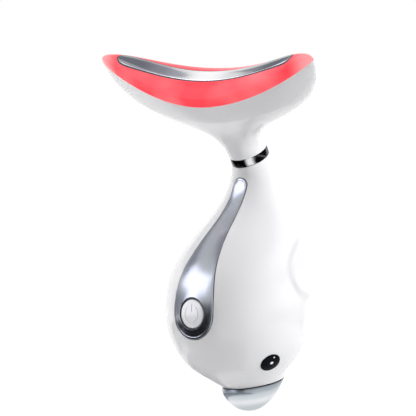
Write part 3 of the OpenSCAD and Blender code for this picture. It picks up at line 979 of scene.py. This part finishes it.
@dataclass
class Handle:
    """Two-part handle shell with its ribbon, push button, eyes, foot and socket.

    The collar has the depths of its top and of its seat, the chamfer the width and height of its points beyond the
    button's hole, and the mark's bar its ends above the button's centre. Each eye dot has its place ahead of and
    above the eye's centre, its rise above the seat and its radius. Each ring of the bowl has its height, place
    along Y, half width, half depth and lean. Each section of the socket's tool has its place behind the mouth and
    its margin.
    """

    ribbon: Ribbon = Ribbon()
    rows: int = 170
    columns: int = 110
    button_r: float = 5.05
    button_ring: float = 0.65
    button_gap: float = 0.05
    button_fall: Pair = (0.4, 0.3)
    button_round: Pair = (0.4, 0.2)
    skirt: float = 1.7
    stem_r: float = 1.5
    stem_y: float = 17.0
    chamfer: tuple[Pair, ...] = ((0.0, -0.75), (0.35, -0.2), (1.2, 0.6))
    bore: float = 1.57
    collar: Pair = (-1.1, -2.6)
    collar_t: float = 1.1
    collar_gaps: Pair = (0.03, 0.07)
    sleeve: float = 3.6
    flange_r: float = 7.2
    mark_r: float = 3.0
    mark_half: float = 0.2
    mark_bar: Pair = (0.75, 3.5)
    mark_open: float = 38.0
    mark_cut: Pair = (-0.64, 0.4)
    tool_reach: Pair = (8.0, 6.0)
    eye_r: float = 3.7
    eye_gap: float = 0.06
    eye_seat: float = 2.3
    eye_dome: float = 12.0
    eye_rise: float = 0.65
    eye_round: float = 0.18
    eye_dots: tuple[tuple[float, ...], ...] = ((0.0, 0.5, 0.64, 0.62), (-0.09, 2.86, 0.30, 0.30))
    bowl: tuple[tuple[float, ...], ...] = (
        (10.16, 6.41, 11, 11, 14), (8.6, 5.75, 10.6, 10.2, 10), (6.9, 4.9, 10.2, 9.15, 5.5),
        (5.2, 4.5, 9.1, 8.3, 2.5), (3.6, 4.2, 7.7, 7.1, 1), (2.1, 4.05, 5.9, 5.65, 0),
        (0.9, 4, 4.05, 3.9, 0), (0.25, 4, 2.1, 2.1, 0), (0, 4, 0, 0, 0))
    bowl_wall: float = 2.0
    groove_deep: float = 0.5
    groove_drop: float = 0.04
    usb_half: Pair = (4.45, 1.6)
    usb_cut: tuple[Pair, ...] = ((-8, 0.16), (-0.35, 0.16), (0.5, 0.9), (4, 0.9))

    def half(self, name: str, start: float) -> Object:
        """One half of the shell, from a direction to half a turn further."""
        t, turn = np.linspace(0, 1, self.rows)[:, None], start + np.linspace(0, 180, self.columns)[None]
        return shell(name, BULB.under(t, turn, 0.0), BULB.under(t, turn, BULB.wall))

    def cylinder(self, place: Matrix, r: float, reach: float) -> Object:
        """Cutting cylinder along the Z of a frame, as far each way."""
        return lathe("tool", [(0, -reach), (r, -reach), (r, reach), (0, reach)], place, 96)

    def shells(self, finish: Material) -> None:
        """Front and back shells, cut for the ribbon, the button, the eyes and the socket.

        Args:
            finish: Material of the shells.
        """
        front = self.half("handle_front", -90)
        deep, short = self.tool_reach
        hole, seat = self.button_r + self.button_ring + self.button_gap, self.eye_r + self.eye_gap
        cut(front, [self.ribbon.pocket(), self.cylinder(PLACES.button(), hole, deep)]
            + [self.cylinder(PLACES.eye(side), seat, short) for side in (-1, 1)])
        settle(front, HOUSING, "shell_white", finish, "front_shell")
        back = self.half("handle_back", 90)
        cut(back, [self.socket_tool()])
        settle(back, HOUSING, "shell_white", finish, "back_shell")

    def socket_tool(self) -> Object:
        """Oval cutting bar with a small countersink for the charging socket.

        Returns:
            The tool.
        """
        half_w, half_h = self.usb_half
        angle = np.radians(np.arange(0, 360, 7.5))
        straight = np.sign(np.cos(angle)) * (half_w - half_h) * (np.abs(np.cos(angle)) > 1e-6)
        oval = np.stack([straight + half_h * np.cos(angle), half_h * np.sin(angle)], 1)
        rows = []
        for back, grow in self.usb_cut:
            plan = oval * (1 + grow / np.linalg.norm(oval, axis=1, keepdims=True))
            y = np.full(len(plan), PLACES.usb_mouth_y + back)
            rows.append(np.stack([plan[:, 0], y, PLACES.usb_z + plan[:, 1]], 1))
        count, last = len(oval), len(oval) * (len(rows) - 1)
        ends = [tuple(range(count)), tuple(range(last, last + count))]
        return make_object("tool", np.array(rows), grid_faces(len(rows), count, wrap=True) + ends)

    def silver(self) -> None:
        """Ribbon with a chamfered hole for the button, and the dark collar in the hole."""
        hole, place = self.button_r + self.button_ring, PLACES.button()
        edge, (low, high) = [(hole + wide, z) for wide, z in self.chamfer], self.tool_reach
        ribbon = self.ribbon.piece()
        cut(ribbon, [lathe("tool", [(0, -low), (hole, -low), *edge, (edge[-1][0], high), (0, high)], place)])
        settle(ribbon, HOUSING, "ribbon_silver", SILVER.material(), "trim_ribbon")
        (top, seat), bore, flange, t = self.collar, self.bore, self.flange_r, self.collar_t
        side, inside = hole - self.collar_gaps[0], self.button_r + self.collar_gaps[1]
        end = seat - self.sleeve
        profile = [(bore, end), (bore + t, end), (bore + t, seat - 2 * t), (flange, seat - 2 * t),
                   (flange, seat - t), (side, seat - t), (side, top), (inside, top), (inside, seat), (bore, seat)]
        collar = lathe("button_collar", rounded(profile, {6: 0.12, 7: 0.08}), place)
        settle(collar, HOUSING, "guide_dark", DARK_GAP.material(), "button_guide")

    def button(self) -> None:
        """Push button with a soft rim, an engraved on and off mark and its stem."""
        r, stem_r, low, place = self.button_r, self.stem_r, -self.skirt, PLACES.button()
        middle, fall = self.button_fall
        crown = [(r * a / 24, -middle - fall * (a / 24) ** 2) for a in range(25)]
        end = float(place.translation[1]) + self.stem_y
        skirt = [(r, low), (stem_r, low), (stem_r, end), (0, end)]
        profile = rounded(crown + skirt, dict(zip((24, 25), self.button_round)))
        cap = lathe("power_cap", profile, place, 160)
        finish = CAP_WHITE.material()
        cap.data.materials.append(finish)
        cut(cap, self.mark_tools(place, MARK_GREY.material()), take_finish=True)
        settle(cap, BUTTON, "button_white", finish, "power_button")

    def mark_tools(self, place: Matrix, groove: Material) -> list[Object]:
        """Open ring and upright bar of the on and off mark, as cutting bodies.

        Args:
            place: Frame of the button.
            groove: Material of the mark.

        Returns:
            The two tools.
        """
        half, (low, high) = self.mark_half, self.mark_cut
        corners = ((-half, low), (half, low), (half, high), (-half, high))
        arc = np.radians(np.linspace(90 + self.mark_open, 450 - self.mark_open, 72))
        ring = [[((self.mark_r + w) * math.cos(a), (self.mark_r + w) * math.sin(a), z) for w, z in corners]
                for a in arc]
        bar = [[(w, y, z) for w, z in corners] for y in np.linspace(*self.mark_bar, 6)]
        tools = []
        for rows in (ring, bar):
            end = 4 * (len(rows) - 1)
            faces = grid_faces(len(rows), 4, wrap=True) + [(0, 1, 2, 3), (end + 3, end + 2, end + 1, end)]
            tool = make_object("tool", carried(np.array(rows), place), faces)
            tool.data.materials.append(groove)
            tools.append(tool)
        return tools

    def eyes(self) -> None:
        """Domed black eyes with a small rounded edge and their white dots."""
        r, dome, low = self.eye_r, self.eye_dome, -self.eye_seat
        crown = [(r * a / 20, math.sqrt(dome**2 - (r * a / 20) ** 2) - (dome - self.eye_rise)) for a in range(21)]
        profile = rounded(crown + [(r, low), (0, low)], {20: self.eye_round})
        finish = EyeFinish(self.dots()).material()
        for side, name in ((-1, "left"), (1, "right")):
            piece = lathe("eye_" + name, profile, PLACES.eye(side), 96)
            settle(piece, HOUSING, "eye_black", finish, name + "_eye")

    def dots(self) -> tuple[tuple[Rgb, float], ...]:
        """White dots on both eyes.

        Returns:
            Centre and radius of each dot in metres.
        """
        dots = []
        for side in (-1, 1):
            place = PLACES.eye(side)
            lift, front = Vector((0, 0, 1)), Vector((0, -1, 0))
            normal = (place.to_3x3() @ Vector((0, 0, 1))).normalized()
            forward = (front - normal * front.dot(normal)).normalized()
            up = (lift - normal * lift.dot(normal)).normalized()
            for ahead, above, rise, radius in self.eye_dots:
                centre = place.translation + normal * rise + forward * ahead + up * above
                dots.append((tuple(centre * MM), radius * MM))
        return tuple(dots)

    def foot_painted_reflection(self) -> ReflectionPaintedMetal:
        """Mirror metal of the foot with a painted reflection: painted shade darkest under the lip, a painted light
        band part way down and mid grey towards the bottom.

        Returns:
            The finish.
        """
        z, y, _, lean = BULB.stations[0]
        lean = math.radians(lean)
        lip = (z * math.cos(lean) - y * math.sin(lean)) * MM
        # Bands of painted shade and painted reflection, from the lip down the foot.
        return ReflectionPaintedMetal("foot_metal_painted_reflection", (0.0, -math.sin(lean), math.cos(lean)), (lip, lip - 0.011), (
            (0.0, (0.10, 0.11, 0.13)), (0.12, (0.38, 0.42, 0.46)), (0.30, (0.60, 0.65, 0.69)),
            (0.48, (0.80, 0.81, 0.84)), (0.72, (0.54, 0.59, 0.62)), (1.0, (0.50, 0.54, 0.57))), (0.28, 0.34))

    def foot(self) -> None:
        """Silver bowl under the lip: rings that shrink and level out towards the bottom."""
        angle = np.radians(np.arange(0, 360, 2.0))
        fine = np.linspace(0, 1, 200)
        columns = [through(column, fine) for column in np.array(self.bowl).T]

        def ring(t: float, inset: float) -> Array:
            """Ring of the bowl.

            Args:
                t: Place from the lip (0) to the bottom (1).
                inset: Distance inwards from the outer ring.

            Returns:
                Its points.
            """
            z, y, wide, deep, lean = (float(np.interp(t, fine, column)) for column in columns)
            across = max(wide - inset, 0.0) * np.cos(angle)
            back, lean = max(deep - inset, 0.0) * np.sin(angle), math.radians(lean)
            return np.stack([across, y + back * math.cos(lean), max(z, inset) + back * math.sin(lean)], -1)

        steps = np.linspace(0, 1, 60)
        top = np.stack([np.cos(angle), np.sin(angle), np.zeros_like(angle)], -1)
        edge = [carried(top * (BULB.stations[0][2] - inset) - (0, 0, self.groove_drop), PLACES.lip())
                for inset in (self.groove_deep, self.bowl_wall)]
        points = np.array([ring(t, 0.0) for t in steps[::-1]] + [ring(0.0, self.groove_deep)] + edge
                          + [ring(t, self.bowl_wall) for t in steps[4:]])
        piece = make_object("silver_foot", points, grid_faces(*points.shape[:2], wrap=True), SLIVER / 2)
        settle(piece, HOUSING, "base_silver", self.foot_painted_reflection().material(), "round_base")

    def build(self, white: Material) -> None:
        """Build and dress every piece of the handle.

        Args:
            white: Material of the shells.
        """
        self.shells(white)
        self.silver()
        self.button()
        self.eyes()
        self.foot()


@dataclass
class Neck:
    """Bright ring between the handle and the head."""

    core_r: float = 4.65
    side_r: float = 6.6
    crown: float = 0.12
    # Painted reflection of the ring: dark across the middle, a bright band on each side, dark again near the sides.
    metal: ReflectionPaintedMetal = ReflectionPaintedMetal("ring_painted_reflection", (1.0, 0.0, 0.0), (0.0, PLACES.neck_r * MM), (
        (0.0, (0.03, 0.03, 0.032)), (0.40, (0.05, 0.05, 0.053)), (0.60, (0.75, 0.75, 0.76)),
        (0.70, (0.75, 0.75, 0.76)), (0.86, (0.05, 0.05, 0.053)), (1.0, (0.12, 0.12, 0.125))), (0.10, 0.14), True)

    def build(self) -> None:
        """Build the ring, with its softly crowned band, and dress it with its painted reflection."""
        half, rise = PLACES.ring_h / 2, self.crown
        band_profile = [(PLACES.neck_r + rise * (1 - (a / 10) ** 2), (half - rise) * a / 10) for a in range(-10, 11)]
        profile = [(self.core_r, -half), (self.side_r, -half), *band_profile, (self.side_r, half),
                   (self.core_r, half)]
        profile = rounded(profile, {2: rise, len(profile) - 3: rise})
        ring = lathe("bright_ring", profile, PLACES.neck(), 192)
        settle(ring, HOUSING, "ring_chrome", self.metal.material(), "neck_ring")


@dataclass
class Head:
    """Wing-shaped head: white flare, lit window, steel plate and its dark gasket.

    The rim rises by tip_rise and sweeps back by sweep_back towards the tips. The neck bows back by neck_bow. Each
    pull has the two inner values of the curve that the flare's depth, length or level follows from neck to rim, and
    each pace says how fast the neck's lean and bow end. The plate's loops close in at the ends by plate_end of what
    they do at the sides.
    """

    length: float = 97.6
    width: float = 19.0
    rim_level: float = 28.8
    tip_rise: float = 10.8
    cap_h: float = 6.7
    plate_half: Pair = (40.0, 2.55)
    plate_t: float = 1.4
    plate_proud: float = 0.12
    plate_round: float = 0.12
    wall: float = 1.8
    tip_wall: float = 2.6
    window_t: float = 1.6
    gasket_w: float = 0.45
    sweep_back: float = 3.4
    neck_bow: float = 1.2
    side_pull: Pair = (7.0, 8.6)
    tip_pull: Pair = (5.0, 46.0)
    level_pull: Pair = (18.5, 14.5)
    lean_pace: float = 2.5
    bow_pace: float = 1.3
    plate_end: float = 0.9
    columns: int = 240
    rows: int = 110
    # Painted reflection of the plate: a painted highlight in the middle that darkens towards both tips.
    metal: ReflectionPaintedMetal = ReflectionPaintedMetal("plate_painted_reflection", (1.0, 0.0, 0.0), (0.002, 0.030), (
        (0.0, (0.97, 0.97, 0.98)), (0.40, (0.70, 0.71, 0.73)), (0.68, (0.50, 0.51, 0.53)),
        (1.0, (0.32, 0.33, 0.35))), (0.12, 0.17), True, 0.04)

    def leaf(self, t: Array, x: Array) -> Array:
        """Half width of the outline at x, from round at t = 0 to leaf-shaped at t = 1."""
        return np.maximum(1 - np.abs(x) ** (2 - 0.3 * t), 0) ** (0.5 + 0.14 * t)

    def sweep(self, x: Array) -> Array:
        """Backward bend of the head towards its tips."""
        return self.sweep_back * (1 - (1 - x * x) ** 2)

    def turns(self) -> Array:
        """Directions round the head."""
        return np.linspace(-180, 180, self.columns + 1)[:-1]

    def flare(self, t: Array | float, turn: Array, side_in: float = 0.0,
              tip_in: Array | float = 0.0, up: Array | float = 0.0) -> Array:
        """Points on the flare between the neck (t = 0) and the rim (t = 1).

        Args:
            t: How far along the flare.
            turn: Directions round the flare.
            side_in: Inset at the front and back.
            tip_in: Inset at the tips.
            up: Lift along the head's axis.

        Returns:
            Points in the head's frame.
        """
        t, turn = np.broadcast_arrays(np.asarray(t, float), np.asarray(turn, float))
        x, tilt = np.sin(np.radians(turn)), PLACES.ring_lean - PLACES.head_lean
        lean = np.radians(tilt * (1 - np.minimum(1, self.lean_pace * t)))
        seat = PLACES.ring_h / 2 * (1 - t) ** 3
        depth = bezier(t, (PLACES.neck_r, *self.side_pull, self.width / 2)) - side_in
        front = depth * np.sign(np.cos(np.radians(turn))) * self.leaf(t, x)
        half = bezier(t, (PLACES.neck_r, *self.tip_pull, self.length / 2)) - tip_in
        bow = self.neck_bow * np.sin(np.radians(180 * np.minimum(self.bow_pace * t, 1)))
        level = bezier(t, (0, *self.level_pull, self.rim_level))
        return np.stack([
            half * x,
            bow + t**3 * self.sweep(x) - front * np.cos(lean) - seat * math.sin(math.radians(tilt)),
            level + seat * np.cos(lean) + up - front * np.sin(lean) + self.tip_rise * t**3 * x * x], -1)

    def cap(self, x: Array, y: Array, side_in: float = 0.0, tip_in: float = 0.0,
            drop: float = 0.0) -> Array:
        """Height of the window's skin over points of its plan.

        Args:
            x: Places along the head.
            y: Places across it.
            side_in: Inset of the rim at the front and back.
            tip_in: Inset of the rim at the tips.
            drop: Distance by which the crown is lower.

        Returns:
            The heights.
        """
        along = x / (self.length / 2)
        near = np.clip(np.abs(x) / (self.length / 2 - tip_in), 0, 1)
        half = np.maximum((self.width / 2 - side_in) * self.leaf(np.array(1.0), near), 0.01)
        across = (y - self.sweep(along)) / half
        crown = np.sqrt(1 - near**6) * np.sqrt(np.maximum(1 - across * across, 0))
        return self.rim_level + self.tip_rise * along * along + (self.cap_h - drop) * crown

    def plate_loop(self, longer: float, wider: float, depth: float = 0.0) -> Array:
        """Loop round the plate on the window's skin: a long shape with round ends.

        Args:
            longer: Distance by which each end is moved out.
            wider: Distance by which each side is moved out.
            depth: Depth below the skin.

        Returns:
            Points in the head's frame.
        """
        around = np.radians(self.turns())
        x = (self.plate_half[0] + longer) * np.sin(around)
        half = (self.plate_half[1] + wider) * np.sqrt(1 - np.abs(np.sin(around)) ** 18)
        y = self.sweep(x / (self.length / 2)) - np.sign(np.cos(around)) * half
        return np.stack([x, y, self.cap(x, y) - depth], -1)

    def flare_shell(self, finish: Material) -> None:
        """White flare from the ring to the window's rim.

        Args:
            finish: Its material.
        """
        t, turn = np.linspace(0, 1, self.rows)[:, None], self.turns()[None]
        tip_in = self.wall + (self.tip_wall - self.wall) * t
        inner = self.flare(t, turn, self.wall, tip_in, self.wall * np.sin(np.radians(180 * t)))
        sheets = [carried(sheet, PLACES.head()) for sheet in (self.flare(t, turn), inner)]
        settle(shell("head_flare", *sheets, wrap=True), HOUSING, "shell_white", finish, "head_shell")

    def sheet(self, side_in: float, tip_in: float, drop: float) -> Array:
        """Sheet of the window from its rim to the slot for the plate.

        Args:
            side_in: Inset of the rim at the front and back.
            tip_in: Inset of the rim at the tips.
            drop: Distance by which the crown is lower.

        Returns:
            Points in rows, no higher than the CAD model.
        """
        rim = self.flare(1.0, self.turns(), side_in, tip_in)
        edge = self.plate_loop(self.gasket_w, self.gasket_w)
        rows = [rim]
        for s in (*np.linspace(0.004, 0.05, 8), *np.linspace(0.07, 1, 34)):
            x, y = (rim[:, :2] * (1 - s) + edge[:, :2] * s).T
            rows.append(np.stack([x, y, self.cap(x, y, side_in, tip_in, drop)], -1))
        points = carried(np.array(rows), PLACES.head())
        points[..., 2] = np.minimum(points[..., 2], CAD_BOX[1][2] / MM)
        return points

    def window(self, mode: LightMode) -> None:
        """Crescent window with the slot for the plate.

        Args:
            mode: Colour of its light.
        """
        inner = self.sheet(self.wall, self.tip_wall, self.window_t)
        window = shell("lit_window", self.sheet(0, 0, 0), inner, wrap=True)
        settle(window, HOUSING, "window_clear", GlowFinish(mode).material(), "led_window")

    def plate(self) -> None:
        """Polished plate with a rounded edge, dressed with its painted reflection."""
        half_w, top, edge = self.plate_half[1], -self.plate_proud, self.plate_round
        angles = np.radians(np.linspace(0, 90, 7))
        inner = np.linspace(edge, half_w, 12)[1:]
        insets = [half_w, *inner[-2::-1], 0.0, *(edge * (1 - np.cos(angles))), *inner]
        depths = [self.plate_t + top] * (len(inner) + 1) + [*(top + edge * (1 - np.sin(angles)))] + [top] * len(inner)
        loops = [self.plate_loop(-self.plate_end * inset, -inset, depth) for inset, depth in zip(insets, depths)]
        points = carried(np.array(loops), PLACES.head())
        piece = make_object("warm_plate", points, grid_faces(*points.shape[:2], wrap=True), SLIVER / 2)
        settle(piece, HOUSING, "plate_steel", self.metal.material(), "massage_plate")

    def gasket(self) -> None:
        """Dark seal between the plate and the window."""
        wide = self.gasket_w
        section = ((wide, 1.2), (wide, 0.04), (wide - 0.1, -0.02), (0.12, -0.02), (0.03, 0.06), (0.03, 1.2))
        rings = np.array([self.plate_loop(grow, grow, depth) for grow, depth in section])
        seal = closed_rings("plate_seal", carried(rings, PLACES.head()))
        settle(seal, HOUSING, "seal_rubber", SEAL_DARK.material(), "plate_gasket")

    def build(self, white: Material, mode: LightMode) -> None:
        """Build and dress every piece of the head.

        Args:
            white: Material of the flare.
            mode: Colour of the window's light.
        """
        self.flare_shell(white)
        self.window(mode)
        self.plate()
        self.gasket()


@dataclass
class Interior:
    """Finishes for the pieces inside the housing, which keep their CAD meshes."""

    dressed: tuple[tuple[Finish, tuple[str, ...]], ...] = (
        (Finish("steel", (0.62, 0.63, 0.64), (0.54, 0.55, 0.57), (0.18, 0.32), metal=1.0, bump=Bump.BRUSHED),
         ("board_screws", "chassis_screws", "shell_screws", "usb_socket", "motor_case", "motor_shaft")),
        (Finish("board", (0.012, 0.13, 0.045), (0.02, 0.2, 0.07), (0.22, 0.42), coat=0.3, tone=420.0),
         ("main_board", "usb_board")),
        (Finish("white_board", (0.83, 0.83, 0.8), (0.72, 0.72, 0.68), (0.3, 0.45), tone=300.0), ("led_board",)),
        (Finish("grey_moulding", (0.56, 0.56, 0.57), (0.5, 0.5, 0.51), (0.38, 0.55), bump=Bump.CAST),
         ("chassis", "neck_core", "head_carrier")),
        (Finish("black_moulding", (0.02, 0.02, 0.022), (0.03, 0.03, 0.032), (0.35, 0.5), bump=Bump.CAST),
         ("switch_plunger", "tact_switch", "usb_tongue", "thermistor")),
        (Finish("foil", (0.6, 0.63, 0.68), (0.5, 0.53, 0.6), (0.2, 0.36), metal=0.9, relief=0.3, grain=220.0),
         ("battery",)),
        (Finish("red_wire", (0.5, 0.02, 0.02), (0.4, 0.015, 0.015), (0.35, 0.5), bump=Bump.WOVEN),
         ("battery_leads",)),
        (Finish("grey_wire", (0.1, 0.1, 0.11), (0.15, 0.15, 0.16), (0.4, 0.55), bump=Bump.WOVEN, relief=0.3),
         ("usb_leads", "head_harness")),
        (Finish("rubber", (0.016, 0.016, 0.018), (0.026, 0.026, 0.028), (0.55, 0.75), bump=Bump.CAST),
         ("neck_seal", "motor_sleeve")),
        (Finish("film", (0.5, 0.2, 0.02), (0.42, 0.15, 0.015), (0.2, 0.35), coat=0.4, tone=800.0),
         ("heater_film",)),
        (Finish("gold", (0.83, 0.6, 0.22), (0.72, 0.5, 0.17), (0.22, 0.36), metal=1.0, bump=Bump.BRUSHED),
         ("plate_contacts", "motor_weight")),
        (Finish("phosphor", (0.85, 0.72, 0.2), (0.9, 0.86, 0.6), (0.2, 0.3), coat=0.5, tone=900.0), ("leds",)))

    def build(self) -> None:
        """Give each CAD node that stays its finish."""
        for finish, names in self.dressed:
            material = finish.material()
            for name in names:
                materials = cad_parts[name].data.materials
                materials.clear()
                materials.append(material)
                LOG.info("%s: finish %s", name, finish.name)


@dataclass
class Studio:
    """Pale floor, soft lamps, cards for the metal to reflect, and the camera.

    The lens is in millimetres. Each lamp has its name, azimuth, elevation and watts. Each card has its name, its
    azimuths, the radius and height of its two arcs, and its brightness. The floor loses the object's shadow between
    the floor_fade distances.
    """

    azimuth: float = 41.0
    elevation: float = 0.5
    lens: float = 900.0
    distance: float = 3.65
    target: Rgb = (-0.01086, -0.00524, 0.0712)
    surroundings: float = 0.35
    floor_half: float = 60.0
    floor_glow: float = 1.1
    floor_fade: Pair = (0.15, 0.6)
    floor_share: Pair = (0.84, 1.0)
    lamp_away: float = 0.9
    lamp_size: float = 0.5
    lamp_target: Rgb = (0.0, 0.0, 0.065)
    card_blue: float = 1.12
    lamps: tuple[tuple[str, float, float, float], ...] = (
        ("side_high", -70, 40, 4.6), ("side_low", -70, 5, 1.8), ("key_high", 110, 40, 4.6),
        ("key_low", 110, 5, 3.7), ("back", -150, 35, 2.0))
    cards: tuple[tuple[str, Pair, Pair, Pair, float], ...] = (
        ("front_floor", (-50, 8), (0.045, 0.003), (0.85, 0.003), 0.02),
        ("side_floor", (-88, -50), (0.055, 0.003), (0.10, 0.003), 0.34),
        ("far_floor", (-88, -50), (0.10, 0.003), (0.26, 0.003), 0.03),
        ("front_wall", (-30, 8), (0.85, 0.003), (0.85, 0.19), 0.04),
        ("low_glow", (-52, -30), (0.84, 0.003), (0.84, 0.31), 2.8),
        ("side_wall", (-88, -52), (0.85, 0.003), (0.85, 0.24), 0.42),
        ("high_glow", (-70, -16), (0.85, 0.31), (0.85, 0.74), 2.8),
        ("back_grey", (-115, -70), (0.85, 0.40), (0.85, 0.77), 0.38),
        ("right_floor", (84, 160), (0.11, 0.003), (0.55, 0.003), 0.03),
        ("right_card", (95, 160), (0.16, 0.078), (0.16, 0.15), 0.03),
        ("foot_near", (-115, 50), (0.0125, 0.0006), (0.020, 0.0006), 0.35),
        ("foot_far", (-115, 50), (0.020, 0.0008), (0.046, 0.0008), 0.30),
        ("ceiling", (0, 360), (0.0, 0.95), (0.50, 0.95), 0.45),
        ("ceiling_edge", (0, 360), (0.50, 0.95), (0.60, 0.95), 0.45))

    def aim(self, thing: Object, azimuth: float, elevation: float, distance: float, target: Rgb) -> None:
        """Place a camera or a lamp so that it looks at a point.

        Args:
            thing: The object.
            azimuth: Direction from which it looks, 0 in front.
            elevation: Height above the horizon.
            distance: Distance from the point.
            target: The point.
        """
        back = self.direction(azimuth, elevation)
        thing.location = Vector(target) + back * distance
        thing.rotation_mode = "QUATERNION"
        thing.rotation_quaternion = (-back).to_track_quat("-Z", "Y")

    def direction(self, azimuth: float, elevation: float = 0.0) -> Vector:
        """Unit vector towards a place round the object, azimuth 0 in front."""
        a, e = math.radians(azimuth), math.radians(elevation)
        return Vector((math.sin(a) * math.cos(e), -math.cos(a) * math.cos(e), math.sin(e)))

    def camera(self) -> None:
        """Camera at the photograph's angle."""
        data = bpy.data.cameras.new("camera")
        data.lens = self.lens
        data.clip_end = 300.0
        camera = linked("camera", data)
        self.aim(camera, self.azimuth, self.elevation, self.distance, self.target)
        bpy.context.scene.camera = camera

    def light(self) -> None:
        """Square soft lamps aimed at the middle of the object, which mirrors don't see."""
        for name, azimuth, elevation, power in self.lamps:
            data = bpy.data.lights.new(name, "AREA")
            data.size, data.energy = self.lamp_size, power
            lamp = linked(name, data)
            lamp.visible_glossy = False
            self.aim(lamp, azimuth, elevation, self.lamp_away, self.lamp_target)

    def reflect(self) -> None:
        """Curved cards between two arcs round the object, which only mirrors see."""
        for name, azimuths, low, high, shade in self.cards:
            turns = np.linspace(*azimuths, 25)
            points = [self.direction(turn) * r + Vector((0, 0, z)) for r, z in (low, high) for turn in turns]
            mesh = bpy.data.meshes.new(name)
            mesh.from_pydata(points, [], grid_faces(2, len(turns)))
            card = linked(name, mesh)
            n = Surface(name + "_paint")
            n.tree.nodes.remove(n.shader)
            glow = n.add("Emission", Color=(shade, shade, shade * self.card_blue, 1.0), Strength=1.0)
            n.link(glow.outputs[0], n.out.inputs[0])
            mesh.materials.append(n.material)
            card.visible_camera = card.visible_diffuse = card.visible_shadow = card.visible_transmission = False

    def world(self) -> None:
        """White surroundings that light the object at a lower level than they show."""
        world = bpy.data.worlds.new("studio")
        bpy.context.scene.world = world
        world.use_nodes = True
        n = Wiring(world.node_tree)
        background = n.tree.nodes["Background"]
        background.inputs["Color"].default_value = (1, 1, 1, 1)
        n.link(n.remap(n.seen(), 0.0, 1.0, self.surroundings, 1.0), background.inputs["Strength"])

    def floor(self) -> None:
        """Wide white floor that keeps a faint shadow."""
        mesh, half = bpy.data.meshes.new("floor"), self.floor_half
        mesh.from_pydata([(-half, -half, 0), (half, -half, 0), (half, half, 0), (-half, half, 0)], [], [(0, 1, 2, 3)])
        n = Surface("floor_paint")
        n.feed(Base_Color=n.blend(n.noise(6.0), (0.72, 0.72, 0.72), (0.69, 0.69, 0.69)), Roughness=0.9,
               Specular_IOR_Level=0.0)
        glow = n.add("Emission", Color=(1, 1, 1, 1), Strength=self.floor_glow)
        bright = n.remap(n.measure("DISTANCE", (0.0, 0.0, 0.0)), *self.floor_fade, *self.floor_share)
        share = n.flow("Math", [n.seen(), bright], operation="MULTIPLY")
        n.link(n.flow("MixShader", [share, n.shader.outputs[0], glow.outputs[0]]), n.out.inputs[0])
        mesh.materials.append(n.material)
        floor = linked("floor", mesh)

    def build(self) -> None:
        """Build the camera, the surroundings, the floor, the lamps and the cards."""
        bpy.context.scene.view_settings.view_transform = "Standard"
        self.camera()
        self.world()
        self.floor()
        self.light()
        self.reflect()
        LOG.info("studio: camera at azimuth %.1f, elevation %.1f", self.azimuth, self.elevation)


def main() -> None:
    """Build the studio and every sub-assembly in order."""
    logging.basicConfig(level=logging.INFO, format="%(name)s %(message)s")
    Studio().build()
    white = WHITE.material()
    Handle().build(white)
    Neck().build()
    Head().build(white, LightMode.RED)
    Interior().build()


if __name__ == "__main__":
    main()
